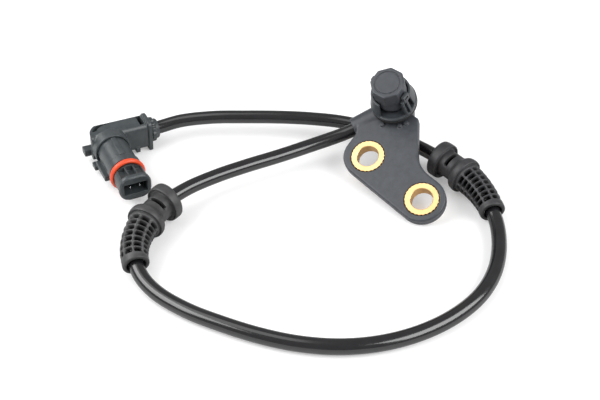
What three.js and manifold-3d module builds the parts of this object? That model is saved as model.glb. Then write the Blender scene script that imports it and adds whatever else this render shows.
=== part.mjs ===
// A wheel speed sensor for a car: a two-bolt bracket with a sensor head, one cable with two
// rubber grommets, and an angled two-way plug on its far end.
// Millimetres, +Z up. The cable rests on z = 0, and the origin is under the middle of the head piece.

import * as THREE from 'three';
import { mergeVertices } from 'three/addons/utils/BufferGeometryUtils.js';
import Module from 'manifold-3d';

const wasm = await Module();
wasm.setup();

// Clearances
const GAP = 0.3;
const BUSH_GAP = 0.25;

// Bracket plate, with its front face at z = 0 and the left bolt hole on the origin
const PLATE_THICKNESS = 4;
const PLATE_EDGE_ROUND = 0.7;
const BOLT_SPACING = 27.8;
const LOBE_RADIUS = 8.8;
const WAIST_RADIUS = 13;
const SHOULDER_POINT = { x: 17.6, y: 8.8 };
const TOP_CORNER = { x: 4.4, y: 23.6 };

// Brass bushes for the bolts
const BUSH_RADIUS = 6.5;
const BUSH_BORE_RADIUS = 4.15;
const BUSH_PROUD_FRONT = 0.1;
const BUSH_PROUD_BACK = 0.5;
const KNURL_TEETH = 26;
const KNURL_DEPTH = 0.22;

// Cable and its route
const CABLE_RADIUS = 2.65;
const CABLE_SIDES = 8;
const CABLE_STEPS = 78;
const CORE_RADIUS = 0.7;
const CORE_SPACING = 1.9;
const CORE_SIDES = 6;

// Sensor head, round about its own axis at HEAD on the bracket
const HEAD = { x: -6.7, y: 22.3 };
const HEAD_PAD_RADIUS = 7;
const HEAD_PAD_HEIGHT = 2.7;
const HEAD_SUMP_DEPTH = 8.8;
const HEAD_SUMP_RADIUS = 6.4;
const FINGER_NECK_RADIUS = 4.9;
const FINGER_NECK_TOP = 6;
const DRUM_RADIUS = 6.1;
const CAP_APOTHEM = 6.15;
const CAP_BOTTOM = 11.2;
const CAP_TOP = 17.2;
const CAP_EDGE = 0.5;
const CAP_TURN = THREE.MathUtils.degToRad(9);
const DISC_RADIUS = 4.5;
const DISC_GROOVE_WIDTH = 0.45;
const DISC_GROOVE_DEPTH = 0.35;
const FINGER_BORE_RADIUS = 4.15;
const FINGER_ROOF = 1.6;

// Cable outlet on the bracket, which points from its mouth at the head
const OUTLET_MOUTH = { x: -14.5, y: 5.8 };
const OUTLET_ANGLE = Math.atan2(HEAD.y - OUTLET_MOUTH.y, HEAD.x - OUTLET_MOUTH.x);
const OUTLET_LENGTH = Math.hypot(HEAD.y - OUTLET_MOUTH.y, HEAD.x - OUTLET_MOUTH.x);
const OUTLET_RADIUS = 4.4;
const OUTLET_ROOT_RADIUS = 5.9;
const OUTLET_BORE_DEPTH = 9;

// Clip sleeve round the head
const FLANGE_RADIUS = 8.9;
const FLANGE_THICKNESS = 1.2;
const SLEEVE_WALL = 0.9;
const SLEEVE_TOP_RADIUS = 7.45;
const SLEEVE_WINDOW = [-82, 24];
const CLIP_RIBS = [-9, 5];
const CLIP_RIB_WIDTH = 1.1;
const CLIP_ANGLE = 8;
const TAB_ANGLE = 188;
const SEAL_CORD_RADIUS = 0.8;
const FOOT_ANGLES = [-78, -36, -20];

// Parts inside the head
const MAGNET_RADIUS = 2.2;
const MAGNET_HEIGHT = 1.8;
const CARRIER_RADIUS = 3.6;
const CARRIER_FLAT = 2.5;
const CHIP_SIZE = { x: 5, y: 4, z: 1.1 };
const LEAD_WIDTH = 0.9;
const LEAD_THICKNESS = 0.35;
const LEAD_SPACING = 3.2;

// Grommets, each measured along the cable from the face of its big flange
const GROMMET_BORE_RADIUS = CABLE_RADIUS + 0.4;
const GROMMET_FLANGE_RADIUS = 7.1;
const GROMMET_FLANGE_THICKNESS = 4.2;
const GROMMET_CUP_DEPTH = 0.7;
const GROMMET_NECK_RADIUS = 5.05;
const GROMMET_NECK_LENGTH = 6.1;
const GROMMET_NECK_SLOT = [6.7, 7.7];
const SHOULDER_RADIUS = 7.05;
const SHOULDER_LENGTH = 4.2;
const CAGE_ROWS = 7;
const CAGE_COLUMNS = 8;
const CAGE_PITCH = 2.25;
const CAGE_RING = 0.65;
const CAGE_RADIUS_START = 5.9;
const CAGE_RADIUS_END = 4.75;
const CAGE_RIB_ANGLE = 10;
const TAIL_RING_LENGTH = 3.2;
const TAIL_BORE_RADIUS = 3.8;
const GROMMET_STARTS = { near: 87.8, far: 330 };

// Plug: nose along -Y, cable arm along +X, origin where their axes cross
const BARREL_RADIUS = 6.1;
const BARREL_START = 4.8;
const BARREL_END = 22.9;
const BAND = { radius: 6.5, start: 19.9 };
const SEAL_GROOVE_RADIUS = 5.2;
const SEAL_GROOVE_WIDTH = 2.7;
const SEAL_OUTER_RADIUS = 6.9;
const NOSE = { halfWidth: 6.15, halfHeight: 5.2, corner: 3.4, length: 7.8 };
const NOSE_RIM = 2.6;
const SOCKET = { width: 9, height: 4.6, depth: 7.2 };
const PIN_PITCH = 3.7;
const PIN_SIZE = 0.8;
const REAR_BORE_RADIUS = 4.6;
const ARM = { left: -7.2, right: 15.9, front: -4.5, back: 4.5, bottom: -5.4, top: 5.8, corner: 6.5 };
const ARM_CAVITY = { left: -4.8, right: 9, back: 3.7, halfHeight: 3.3 };
const END_PLATE = { thickness: 1.4, front: -5.2, back: 5, bottom: -6.6, top: 6.4 };
const COLLAR_LENGTH = 3.6;
const COLLAR_RADIUS = 4.9;
const HOOD_RADIUS = 7.1;
const HOOD_FRONT = 8.2;
const COLLAR_TEETH = 14;

// Poses: where the bracket and the plug lie, and how they are turned
const BRACKET_AT = new THREE.Vector3(-8.4, 2.35, 11.31);
const BRACKET_TURN_DEG = { z: -47.43, y: 7.9, x: 28.08 };
const PLUG_AT = new THREE.Vector3(-110, 17.2, 7.8);
const PLUG_TURN_DEG = { z: 28, y: 3.8 };

// The cable's free run between the bracket and the plug
const ROUTE = [
  [-18.1, 16.7, 10.4],
  [-30.4, 12.6, 8.2],
  [-42.4, 7.2, 7.4],
  [-54.3, 1.5, 7.3],
  [-65.9, -4.8, 7.2],
  [-76.5, -12.8, 7.4],
  [-85.0, -23.0, 7.35],
  [-90.3, -35.3, 6.8],
  [-90.8, -44.6, 5.7],
  [-87.8, -53.1, 4.2],
  [-81.9, -60.0, 3.1],
  [-71.1, -67.6, 2.75],
  [-59.3, -73.4, 2.75],
  [-47.0, -78.3, 2.75],
  [-34.3, -81.7, 2.75],
  [-21.2, -82.9, 2.75],
  [-8.1, -81.4, 2.75],
  [4.4, -77.2, 2.75],
  [15.8, -70.5, 2.75],
  [25.4, -61.5, 2.75],
  [32.2, -50.3, 2.9],
  [35.8, -37.6, 3.5],
  [36.2, -24.5, 4.6],
  [32.6, -12.2, 6.3],
  [25.7, -1.2, 7.25],
  [16.8, 8.7, 7.5],
  [6.7, 17.4, 7.4],
  [-4.5, 24.4, 7.4],
  [-16.8, 29.0, 7.7],
  [-29.8, 31.0, 8.0],
  [-43.0, 31.6, 8.3],
  [-56.2, 31.6, 8.4],
  [-69.4, 31.1, 8.2],
  [-82.1, 29.7, 7.45],
];

const MATERIALS = {
  housing: () => plastic('housing', 0x555a61, 0.5),
  clip: () => plastic('clip', 0x4b4f53, 0.45),
  plug: () => plastic('plug', 0x50565a, 0.5),
  jacket: () => plastic('jacket', 0x141416, 0.22),
  rubber: () => plastic('rubber', 0x3a3b3d, 0.65),
  sealBlack: () => plastic('seal_black', 0x101112, 0.5),
  sealOrange: () => plastic('seal_orange', 0xe0512c, 0.4),
  insulation: () => plastic('insulation', 0x7a3f22, 0.5),
  insert: () => plastic('insert', 0x2a2c2e, 0.6),
  chip: () => plastic('chip', 0x17181a, 0.4),
  brass: () => metal('brass', 0xe6c27e, 0.35),
  tin: () => metal('tin', 0xc9ccd0, 0.25),
  magnet: () => metal('magnet', 0x6f7174, 0.4),
};

// A matt or satin material that conducts nothing.
function plastic(name, color, roughness) {
  return new THREE.MeshStandardMaterial({ name, color, roughness, metalness: 0 });
}

// A bare metal.
function metal(name, color, roughness) {
  return new THREE.MeshStandardMaterial({ name, color, roughness, metalness: 1 });
}

// A closed geometry as a solid for joins and cuts.
function solid(geometry) {
  const bare = geometry.clone();
  bare.deleteAttribute('normal');
  bare.deleteAttribute('uv');
  const merged = mergeVertices(bare, 1e-4);
  return new wasm.Manifold(new wasm.Mesh({
    numProp: 3,
    vertProperties: new Float32Array(merged.attributes.position.array),
    triVerts: new Uint32Array(merged.index.array),
  }));
}

// A solid as a geometry again.
function geometryOf(body) {
  const mesh = body.getMesh();
  const geometry = new THREE.BufferGeometry();
  geometry.setAttribute('position', new THREE.BufferAttribute(mesh.vertProperties, 3));
  geometry.setIndex(new THREE.BufferAttribute(mesh.triVerts, 1));
  geometry.computeVertexNormals();
  return geometry;
}

function joined(first, ...rest) {
  return rest.reduce((sum, next) => sum.add(next), first);
}

function cut(body, ...tools) {
  return tools.reduce((left, tool) => left.subtract(tool), body);
}

function mesh(name, geometry, material) {
  const made = new THREE.Mesh(geometry, material);
  made.name = name;
  return made;
}

// A body of revolution about Z from a closed outline of [radius, height] pairs.
function revolved(outline, segments = 40) {
  const points = outline.map(([r, z]) => new THREE.Vector2(r, z));
  if (THREE.ShapeUtils.area(points) < 0) points.reverse();
  const start = points.findIndex((p, i) => p.x === 0 && points.at(i - 1).x === 0);
  const ordered = start < 0
    ? [...points, points[0].clone()]
    : [...points.slice(start), ...points.slice(0, start)];
  return new THREE.LatheGeometry(ordered, segments).rotateX(Math.PI / 2);
}

// An upright cylinder from z = bottom to z = top.
function post(radius, bottom, top, segments = 32) {
  return new THREE.CylinderGeometry(radius, radius, top - bottom, segments)
    .rotateX(Math.PI / 2)
    .translate(0, 0, (bottom + top) / 2);
}

// A box between two corners.
function block(from, to) {
  const size = to.map((value, i) => value - from[i]);
  return new THREE.BoxGeometry(...size)
    .translate(from[0] + size[0] / 2, from[1] + size[1] / 2, from[2] + size[2] / 2);
}

// A shape pulled up from z = bottom to z = top.
function pulled(shape, bottom, top, curveSegments = 12) {
  const depth = top - bottom;
  return new THREE.ExtrudeGeometry(shape, { depth, bevelEnabled: false, curveSegments })
    .translate(0, 0, bottom);
}

// A closed outline whose corners are rounded, each by its own radius.
function roundedShape(corners, stepsPerQuarter = 6) {
  const points = [];
  corners.forEach((corner, i) => {
    const before = corners.at(i - 1);
    const after = corners[(i + 1) % corners.length];
    points.push(...roundedCorner(before, corner, after, stepsPerQuarter));
  });
  return new THREE.Shape(points.filter((point, i) => point.distanceTo(points.at(i - 1)) > 0.05));
}

// The points of one rounded corner, from its first tangent point to its last.
function roundedCorner(before, corner, after, stepsPerQuarter) {
  const at = new THREE.Vector2(corner.x, corner.y);
  if (!corner.r) return [at];
  const back = new THREE.Vector2(before.x, before.y).sub(at).normalize();
  const ahead = new THREE.Vector2(after.x, after.y).sub(at).normalize();
  const half = Math.acos(THREE.MathUtils.clamp(back.dot(ahead), -1, 1)) / 2;
  const middle = back.clone().add(ahead).normalize().multiplyScalar(corner.r / Math.sin(half));
  const centre = at.clone().add(middle);
  const first = at.clone().addScaledVector(back, corner.r / Math.tan(half)).sub(centre);
  const sweep = (Math.PI - 2 * half) * Math.sign(ahead.cross(back));
  const steps = Math.max(2, Math.round(Math.abs(sweep) / (Math.PI / 2) * stepsPerQuarter));
  return Array.from({ length: steps + 1 }, (_, k) =>
    first.clone().rotateAround(new THREE.Vector2(), sweep * k / steps).add(centre));
}

// A pie slice about the origin between two angles in degrees.
function slice(radius, fromDeg, toDeg) {
  const steps = Math.ceil((toDeg - fromDeg) / 20);
  const points = [new THREE.Vector2(0, 0)];
  for (let k = 0; k <= steps; k++) {
    const angle = THREE.MathUtils.degToRad(fromDeg + (toDeg - fromDeg) * k / steps);
    points.push(new THREE.Vector2(radius * Math.cos(angle), radius * Math.sin(angle)));
  }
  return new THREE.Shape(points);
}

// A flat rib that stands in the radial plane at an angle, from an outline of [radius, height].
function radialRib(outline, width, angleDeg) {
  const shape = new THREE.Shape(outline.map(([r, z]) => new THREE.Vector2(r, z)));
  return pulled(shape, -width / 2, width / 2)
    .rotateX(Math.PI / 2)
    .rotateZ(THREE.MathUtils.degToRad(angleDeg));
}

// A round rod swept along a curve.
function rod(curve, radius, sides, steps) {
  const points = Array.from({ length: sides }, (_, k) => {
    const angle = 2 * Math.PI * k / sides;
    return new THREE.Vector2(radius * Math.cos(angle), radius * Math.sin(angle));
  });
  return new THREE.ExtrudeGeometry(new THREE.Shape(points), { steps, extrudePath: curve });
}

// Turns what was modelled along +Z so that it runs along +X, with its own X and Y on Y and Z.
function alongX(geometry) {
  const [x, y, z] = [0, 1, 2].map((axis) => new THREE.Vector3().setComponent(axis, 1));
  return geometry.applyMatrix4(new THREE.Matrix4().makeBasis(y, z, x));
}

// Turns what was modelled along +Z so that it runs along -Y, with its own Y up.
function alongNose(geometry) {
  return geometry.rotateX(Math.PI / 2);
}

// Bracket

// The plate's outline: two bolt lobes, a waist and the arm up to the head.
function plateOutline() {
  const right = BOLT_SPACING + LOBE_RADIUS;
  const mouthSide = new THREE.Vector2(OUTLET_RADIUS, 0).rotateAround(new THREE.Vector2(), OUTLET_ANGLE - Math.PI / 2);
  return roundedShape([
    { x: -LOBE_RADIUS, y: -LOBE_RADIUS, r: LOBE_RADIUS },
    { x: right, y: -LOBE_RADIUS, r: LOBE_RADIUS },
    { x: right, y: LOBE_RADIUS, r: LOBE_RADIUS },
    { ...SHOULDER_POINT, r: WAIST_RADIUS },
    { ...TOP_CORNER, r: 1.6 },
    { x: HEAD.x, y: TOP_CORNER.y },
    { x: OUTLET_MOUTH.x + 1, y: OUTLET_MOUTH.y + 2 },
    { x: OUTLET_MOUTH.x + mouthSide.x, y: OUTLET_MOUTH.y + mouthSide.y },
  ]);
}

// The plate with softened edges, its front face at z = 0.
function plate() {
  const inner = PLATE_THICKNESS - 2 * PLATE_EDGE_ROUND;
  return new THREE.ExtrudeGeometry(plateOutline(), {
    depth: inner,
    bevelThickness: PLATE_EDGE_ROUND,
    bevelSize: PLATE_EDGE_ROUND,
    bevelOffset: -PLATE_EDGE_ROUND,
    bevelSegments: 2,
  }).translate(0, 0, -PLATE_THICKNESS + PLATE_EDGE_ROUND);
}

// Places what runs along +X from the origin on the outlet's axis, from its mouth towards the head.
function onOutletAxis(geometry) {
  return geometry
    .rotateZ(OUTLET_ANGLE)
    .translate(OUTLET_MOUTH.x, OUTLET_MOUTH.y, -OUTLET_RADIUS);
}

function outletAxis() {
  return new THREE.Vector3(Math.cos(OUTLET_ANGLE), Math.sin(OUTLET_ANGLE), 0);
}

function outletPoint(depth) {
  return new THREE.Vector3(OUTLET_MOUTH.x, OUTLET_MOUTH.y, -OUTLET_RADIUS)
    .addScaledVector(outletAxis(), depth);
}

function bracket() {
  const outlet = onOutletAxis(alongX(revolved([
    [0, 0],
    [OUTLET_RADIUS - 0.4, 0],
    [OUTLET_RADIUS, 0.4],
    [OUTLET_ROOT_RADIUS, OUTLET_LENGTH],
    [0, OUTLET_LENGTH],
  ], 28)));
  const behind = block([-60, -60, -40], [60, 60, -HEAD_SUMP_DEPTH]);
  const sump = post(HEAD_SUMP_RADIUS, -HEAD_SUMP_DEPTH, -1, 36).translate(HEAD.x, HEAD.y, 0);
  const pad = post(HEAD_PAD_RADIUS, -1.5, HEAD_PAD_HEIGHT, 36).translate(HEAD.x, HEAD.y, 0);
  const feet = FOOT_ANGLES.map((angle) => solid(post(0.9, -1, 0.8, 10)
    .translate(FLANGE_RADIUS + 0.5, 0, 0)
    .rotateZ(THREE.MathUtils.degToRad(angle))
    .translate(HEAD.x, HEAD.y, 0)));
  const neck = cut(solid(outlet), solid(behind));
  const body = joined(solid(plate()), neck, solid(sump), solid(pad), ...feet);
  const holes = [0, BOLT_SPACING].map((x) =>
    solid(post(BUSH_RADIUS + BUSH_GAP, -20, 20, 36).translate(x, 0, 0)));
  const cableBore = onOutletAxis(alongX(post(CABLE_RADIUS + GAP, -5, OUTLET_BORE_DEPTH + GAP, 20)));
  const coreBore = onOutletAxis(alongX(post(CORE_SPACING / 2 + CORE_RADIUS + 3 * GAP, 0, OUTLET_LENGTH, 16)));
  const well = post(FINGER_BORE_RADIUS, -HEAD_SUMP_DEPTH + 1.8, 20, 28).translate(HEAD.x, HEAD.y, 0);
  return cut(body, ...holes, solid(cableBore), solid(coreBore), solid(well));
}

// A straight-knurled bush whose bore takes the bolt.
function bush() {
  const outline = [];
  for (let k = 0; k < 2 * KNURL_TEETH; k++) {
    const radius = k % 2 ? BUSH_RADIUS : BUSH_RADIUS - KNURL_DEPTH;
    const angle = Math.PI * k / KNURL_TEETH;
    outline.push(new THREE.Vector2(radius * Math.cos(angle), radius * Math.sin(angle)));
  }
  const shape = new THREE.Shape(outline);
  shape.holes.push(new THREE.Path().absarc(0, 0, BUSH_BORE_RADIUS, 0, 2 * Math.PI, true));
  return pulled(shape, -PLATE_THICKNESS - BUSH_PROUD_BACK, BUSH_PROUD_FRONT, 16);
}

// Head

// The moulded finger: round drum, eight-sided cap, and a bore for the sensing parts.
function finger() {
  const bottom = HEAD_PAD_HEIGHT + GAP;
  const drum = revolved([
    [0, bottom],
    [FINGER_NECK_RADIUS, bottom],
    [FINGER_NECK_RADIUS, FINGER_NECK_TOP],
    [DRUM_RADIUS, FINGER_NECK_TOP + 0.5],
    [DRUM_RADIUS, CAP_BOTTOM + 0.5],
    [0, CAP_BOTTOM + 0.5],
  ], 36);
  const corner = CAP_APOTHEM / Math.cos(Math.PI / 8);
  const cap = new THREE.LatheGeometry([
    new THREE.Vector2(0, CAP_BOTTOM),
    new THREE.Vector2(corner - CAP_EDGE, CAP_BOTTOM),
    new THREE.Vector2(corner, CAP_BOTTOM + CAP_EDGE),
    new THREE.Vector2(corner, CAP_TOP - CAP_EDGE),
    new THREE.Vector2(corner - CAP_EDGE, CAP_TOP),
    new THREE.Vector2(0, CAP_TOP),
  ], 8).rotateX(Math.PI / 2).rotateZ(CAP_TURN + Math.PI / 8);
  const groove = revolved([
    [DISC_RADIUS, CAP_TOP - DISC_GROOVE_DEPTH],
    [DISC_RADIUS + DISC_GROOVE_WIDTH, CAP_TOP - DISC_GROOVE_DEPTH],
    [DISC_RADIUS + DISC_GROOVE_WIDTH, CAP_TOP + 1],
    [DISC_RADIUS, CAP_TOP + 1],
  ], 32);
  const bore = post(FINGER_BORE_RADIUS, bottom - 1, CAP_TOP - FINGER_ROOF, 28);
  return cut(joined(solid(drum), solid(cap)), solid(groove), solid(bore));
}

// The clip sleeve: a flange, a tapered wall with a wide window, two clip ribs and a tab.
function clipSleeve() {
  const bottom = HEAD_PAD_HEIGHT + GAP;
  const floor = bottom + FLANGE_THICKNESS;
  const top = CAP_BOTTOM - GAP;
  const inner = DRUM_RADIUS + GAP + 0.1;
  const flange = revolved([
    [FINGER_NECK_RADIUS + GAP, bottom],
    [FLANGE_RADIUS - 0.3, bottom],
    [FLANGE_RADIUS, bottom + 0.4],
    [FLANGE_RADIUS, floor - 0.2],
    [FLANGE_RADIUS - 0.2, floor],
    [FINGER_NECK_RADIUS + GAP, floor],
  ], 44);
  const wall = revolved([
    [inner + 1.1, floor - 0.3],
    [FLANGE_RADIUS - 0.25, floor - 0.3],
    [SLEEVE_TOP_RADIUS, top],
    [SLEEVE_TOP_RADIUS - SLEEVE_WALL, top],
  ], 44);
  const window = pulled(slice(20, ...SLEEVE_WINDOW), floor, top + 1);
  const body = joined(cut(solid(wall), solid(window)), solid(flange));
  const hook = block([CAP_APOTHEM + GAP, -1.6, top - 0.6], [CAP_APOTHEM + 1.7, 1.6, top + 3.2]);
  const slot = block([CAP_APOTHEM + 0.8, -0.9, top + 0.9], [CAP_APOTHEM + 3, 0.9, top + 2]);
  const clip = cut(solid(hook), solid(slot)).rotate([0, 0, CLIP_ANGLE]);
  const ribs = CLIP_RIBS.map((angle) => solid(radialRib([
    [FLANGE_RADIUS - 1, floor - 0.4],
    [FLANGE_RADIUS, floor - 0.4],
    [CAP_APOTHEM + 1.7, top + 1],
    [CAP_APOTHEM / Math.cos(Math.PI / 8) + GAP, top + 1],
    [CAP_APOTHEM / Math.cos(Math.PI / 8) + GAP, top - 1.5],
  ], CLIP_RIB_WIDTH, angle)));
  const tab = solid(block([CAP_APOTHEM + GAP, -1, top - 0.8], [CAP_APOTHEM + 1.5, 1, top + 4]))
    .rotate([0, 0, TAB_ANGLE]);
  return joined(body, clip, tab, ...ribs);
}

// The black cord seal between the flange and the plate, round the head's pad.
function headSeal() {
  const middle = HEAD_PAD_RADIUS + GAP + SEAL_CORD_RADIUS;
  return new THREE.TorusGeometry(middle, SEAL_CORD_RADIUS, 6, 26)
    .translate(0, 0, HEAD_PAD_HEIGHT - SEAL_CORD_RADIUS);
}

// Heights inside the finger, from the roof down.
function headLevels() {
  const chipTop = CAP_TOP - FINGER_ROOF - GAP;
  const chipBottom = chipTop - CHIP_SIZE.z;
  const magnetTop = chipBottom - GAP;
  const magnetBottom = magnetTop - MAGNET_HEIGHT;
  const carrierTop = magnetBottom - GAP;
  return { chipTop, chipBottom, magnetTop, magnetBottom, carrierTop, carrierBottom: HEAD_PAD_HEIGHT - 1 };
}

function sensorChip() {
  const { chipBottom, chipTop } = headLevels();
  return block([-CHIP_SIZE.x / 2, -CHIP_SIZE.y / 2, chipBottom], [CHIP_SIZE.x / 2, CHIP_SIZE.y / 2, chipTop]);
}

function biasMagnet() {
  const { magnetBottom, magnetTop } = headLevels();
  return post(MAGNET_RADIUS, magnetBottom, magnetTop, 20);
}

// The round carrier with the flat that the leads lie on.
function chipCarrier() {
  const { carrierBottom, carrierTop } = headLevels();
  const round = post(CARRIER_RADIUS, carrierBottom, carrierTop, 24);
  const flat = block([-9, -9, carrierBottom - 1], [9, -CARRIER_FLAT, carrierTop + 1]);
  return cut(solid(round), solid(flat));
}

// A lead strip on the carrier's flat, with a foot under the side of the chip.
function lead(side) {
  const { chipBottom, carrierBottom } = headLevels();
  const x = side * LEAD_SPACING / 2;
  const front = -CARRIER_FLAT - GAP;
  const strip = block(
    [x - LEAD_WIDTH / 2, front - LEAD_THICKNESS, carrierBottom],
    [x + LEAD_WIDTH / 2, front, chipBottom + 0.6]);
  const foot = block(
    [x - LEAD_WIDTH / 2, front - LEAD_THICKNESS, chipBottom + 0.3],
    [x + LEAD_WIDTH / 2, -CHIP_SIZE.y / 2 - GAP, chipBottom + 0.6]);
  return joined(solid(strip), solid(foot));
}

// One insulated core from the cable's end in the outlet to a lead.
function headCore(side) {
  const across = new THREE.Vector3(-Math.sin(OUTLET_ANGLE), Math.cos(OUTLET_ANGLE), 0);
  const offset = across.multiplyScalar(-side * CORE_SPACING / 2);
  const leadFoot = new THREE.Vector3(side * LEAD_SPACING / 2, -CARRIER_FLAT - GAP, 0)
    .applyAxisAngle(new THREE.Vector3(0, 0, 1), OUTLET_ANGLE - Math.PI / 2);
  const { carrierBottom } = headLevels();
  const below = new THREE.Vector3(HEAD.x + leadFoot.x, HEAD.y + leadFoot.y, -OUTLET_RADIUS);
  const path = new THREE.CatmullRomCurve3([
    outletPoint(OUTLET_BORE_DEPTH + GAP).add(offset),
    outletPoint(OUTLET_BORE_DEPTH + 3).add(offset),
    below.clone().addScaledVector(outletAxis(), -0.8).setZ(-OUTLET_RADIUS + 0.3),
    below.clone().setZ(-OUTLET_RADIUS + 2.2),
    below.clone().setZ(carrierBottom - GAP),
  ]);
  return rod(path, CORE_RADIUS, CORE_SIDES, 12);
}

// Cable

// The cable's centreline: out of the bracket's outlet, along the route and into the plug's arm.
function cableCurve(bracketMatrix, plugMatrix) {
  const outOf = [OUTLET_BORE_DEPTH, OUTLET_BORE_DEPTH / 2, 0].map((depth) =>
    outletPoint(depth).applyMatrix4(bracketMatrix));
  const collarEnd = ARM.right + END_PLATE.thickness + COLLAR_LENGTH;
  const into = [collarEnd, (collarEnd + ARM_CAVITY.right) / 2, ARM_CAVITY.right - 0.5].map((x) =>
    new THREE.Vector3(x, 0, 0).applyMatrix4(plugMatrix));
  const free = ROUTE.map((point) => new THREE.Vector3(...point));
  const curve = new THREE.CatmullRomCurve3([...outOf, ...free, ...into], false, 'centripetal');
  curve.arcLengthDivisions = 2000;
  return curve;
}

// Grommets

// The rows of a grommet along its axis: distance and radius of the outer skin, distance and radius
// of the bore, and whether the cage or the neck is open between this row and the next.
function grommetRows() {
  const row = (s, out, open, bore = GROMMET_BORE_RADIUS, boreAt = s) => ({ s, out, open, bore, boreAt });
  const rim = GROMMET_FLANGE_THICKNESS;
  const neckStart = rim - GROMMET_CUP_DEPTH + 0.4;
  const neckEnd = rim + GROMMET_NECK_LENGTH;
  const shoulderEnd = neckEnd + SHOULDER_LENGTH;
  const rows = [
    row(0, GROMMET_FLANGE_RADIUS - 0.7),
    row(0.6, GROMMET_FLANGE_RADIUS),
    row(rim - 0.4, GROMMET_FLANGE_RADIUS),
    row(rim, GROMMET_FLANGE_RADIUS - 0.45),
    row(rim - GROMMET_CUP_DEPTH, GROMMET_NECK_RADIUS + 0.6, undefined, GROMMET_BORE_RADIUS, rim + 0.2),
    row(neckStart, GROMMET_NECK_RADIUS, undefined, GROMMET_BORE_RADIUS, rim + 0.4),
    row(GROMMET_NECK_SLOT[0], GROMMET_NECK_RADIUS, 'slot'),
    row(GROMMET_NECK_SLOT[1], GROMMET_NECK_RADIUS),
    row(neckEnd - 0.5, GROMMET_NECK_RADIUS + 0.4),
    row(neckEnd + 1.1, SHOULDER_RADIUS - 0.2),
    row(neckEnd + 2.2, SHOULDER_RADIUS),
    row(shoulderEnd - 0.6, SHOULDER_RADIUS - 0.3),
    row(shoulderEnd - 0.7, CAGE_RADIUS_START, undefined, GROMMET_BORE_RADIUS, shoulderEnd - 0.2),
  ];
  const cageLength = CAGE_ROWS * CAGE_PITCH + CAGE_RING;
  for (let ring = 0; ring <= CAGE_ROWS; ring++) {
    for (const edge of ring < CAGE_ROWS ? [0, CAGE_RING] : [0]) {
      const s = ring * CAGE_PITCH + edge;
      const out = THREE.MathUtils.lerp(CAGE_RADIUS_START, CAGE_RADIUS_END, s / cageLength);
      rows.push(row(shoulderEnd + s, out, edge ? 'cage' : undefined));
    }
  }
  const tailStart = shoulderEnd + cageLength;
  const tailEnd = tailStart + TAIL_RING_LENGTH;
  rows.push(row(tailStart, CAGE_RADIUS_END));
  rows.push(row(tailEnd - 0.5, CAGE_RADIUS_END, undefined, TAIL_BORE_RADIUS, tailStart + 0.7));
  rows.push(row(tailEnd, CAGE_RADIUS_END - 0.45, undefined, TAIL_BORE_RADIUS));
  return rows;
}

// The angles of the grommet's lines in degrees: two edges for each rib and one line between.
function grommetAngles() {
  const pitch = 360 / CAGE_COLUMNS;
  const half = CAGE_RIB_ANGLE / 2;
  return Array.from({ length: CAGE_COLUMNS }, (_, k) =>
    [-half, half, pitch / 2].map((angle) => k * pitch + angle)).flat();
}

// A wall of rows and columns between an outer and an inner skin, open where isOpen says so.
function latticeGeometry(rows, columns, outer, inner, isOpen) {
  const positions = [];
  for (let i = 0; i < rows; i++) {
    for (let j = 0; j < columns; j++) positions.push(...outer(i, j), ...inner(i, j));
  }
  const index = [];
  const at = (i, j, skin) => (i * columns + (j + columns) % columns) * 2 + skin;
  const quad = (a, b, c, d) => index.push(a, b, c, a, c, d);
  const open = (i, j) => i >= 0 && i < rows - 1 && isOpen(i, (j + columns) % columns);
  for (let i = 0; i < rows - 1; i++) {
    for (let j = 0; j < columns; j++) {
      if (!open(i, j)) {
        quad(at(i, j, 0), at(i, j + 1, 0), at(i + 1, j + 1, 0), at(i + 1, j, 0));
        quad(at(i, j, 1), at(i + 1, j, 1), at(i + 1, j + 1, 1), at(i, j + 1, 1));
        continue;
      }
      if (!open(i, j - 1)) quad(at(i, j, 0), at(i, j, 1), at(i + 1, j, 1), at(i + 1, j, 0));
      if (!open(i, j + 1)) quad(at(i, j + 1, 1), at(i, j + 1, 0), at(i + 1, j + 1, 0), at(i + 1, j + 1, 1));
      quad(at(i, j, 1), at(i, j, 0), at(i, j + 1, 0), at(i, j + 1, 1));
      quad(at(i + 1, j, 0), at(i + 1, j, 1), at(i + 1, j + 1, 1), at(i + 1, j + 1, 0));
    }
  }
  for (let j = 0; j < columns; j++) {
    quad(at(0, j, 1), at(0, j + 1, 1), at(0, j + 1, 0), at(0, j, 0));
    quad(at(rows - 1, j, 0), at(rows - 1, j + 1, 0), at(rows - 1, j + 1, 1), at(rows - 1, j, 1));
  }
  const geometry = new THREE.BufferGeometry();
  geometry.setAttribute('position', new THREE.Float32BufferAttribute(positions, 3));
  geometry.setIndex(index);
  geometry.computeVertexNormals();
  return geometry;
}

// A grommet bent along the cable, from the big flange at a distance on the curve, in direction 1 or -1.
function grommet(curve, start, direction) {
  const rows = grommetRows();
  const angles = grommetAngles();
  const length = curve.getLength();
  const point = (s, radius, j) => {
    const u = (start + direction * s) / length;
    const ahead = curve.getTangentAt(u).multiplyScalar(direction);
    const side = new THREE.Vector3().crossVectors(ahead, new THREE.Vector3(0, 0, 1)).normalize();
    const up = new THREE.Vector3().crossVectors(side, ahead);
    const angle = THREE.MathUtils.degToRad(angles[j]);
    return curve.getPointAt(u)
      .addScaledVector(up, radius * Math.cos(angle))
      .addScaledVector(side, radius * Math.sin(angle))
      .toArray();
  };
  const isRib = (j) => j % 3 === 0;
  const inSlot = (j) => j < 3 || j >= angles.length - 2;
  const isOpen = (i, j) =>
    (rows[i].open === 'cage' && !isRib(j)) || (rows[i].open === 'slot' && inSlot(j));
  return latticeGeometry(rows.length, angles.length,
    (i, j) => point(rows[i].s, rows[i].out, j),
    (i, j) => point(rows[i].boreAt, rows[i].bore, j),
    isOpen);
}

// Plug

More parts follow.
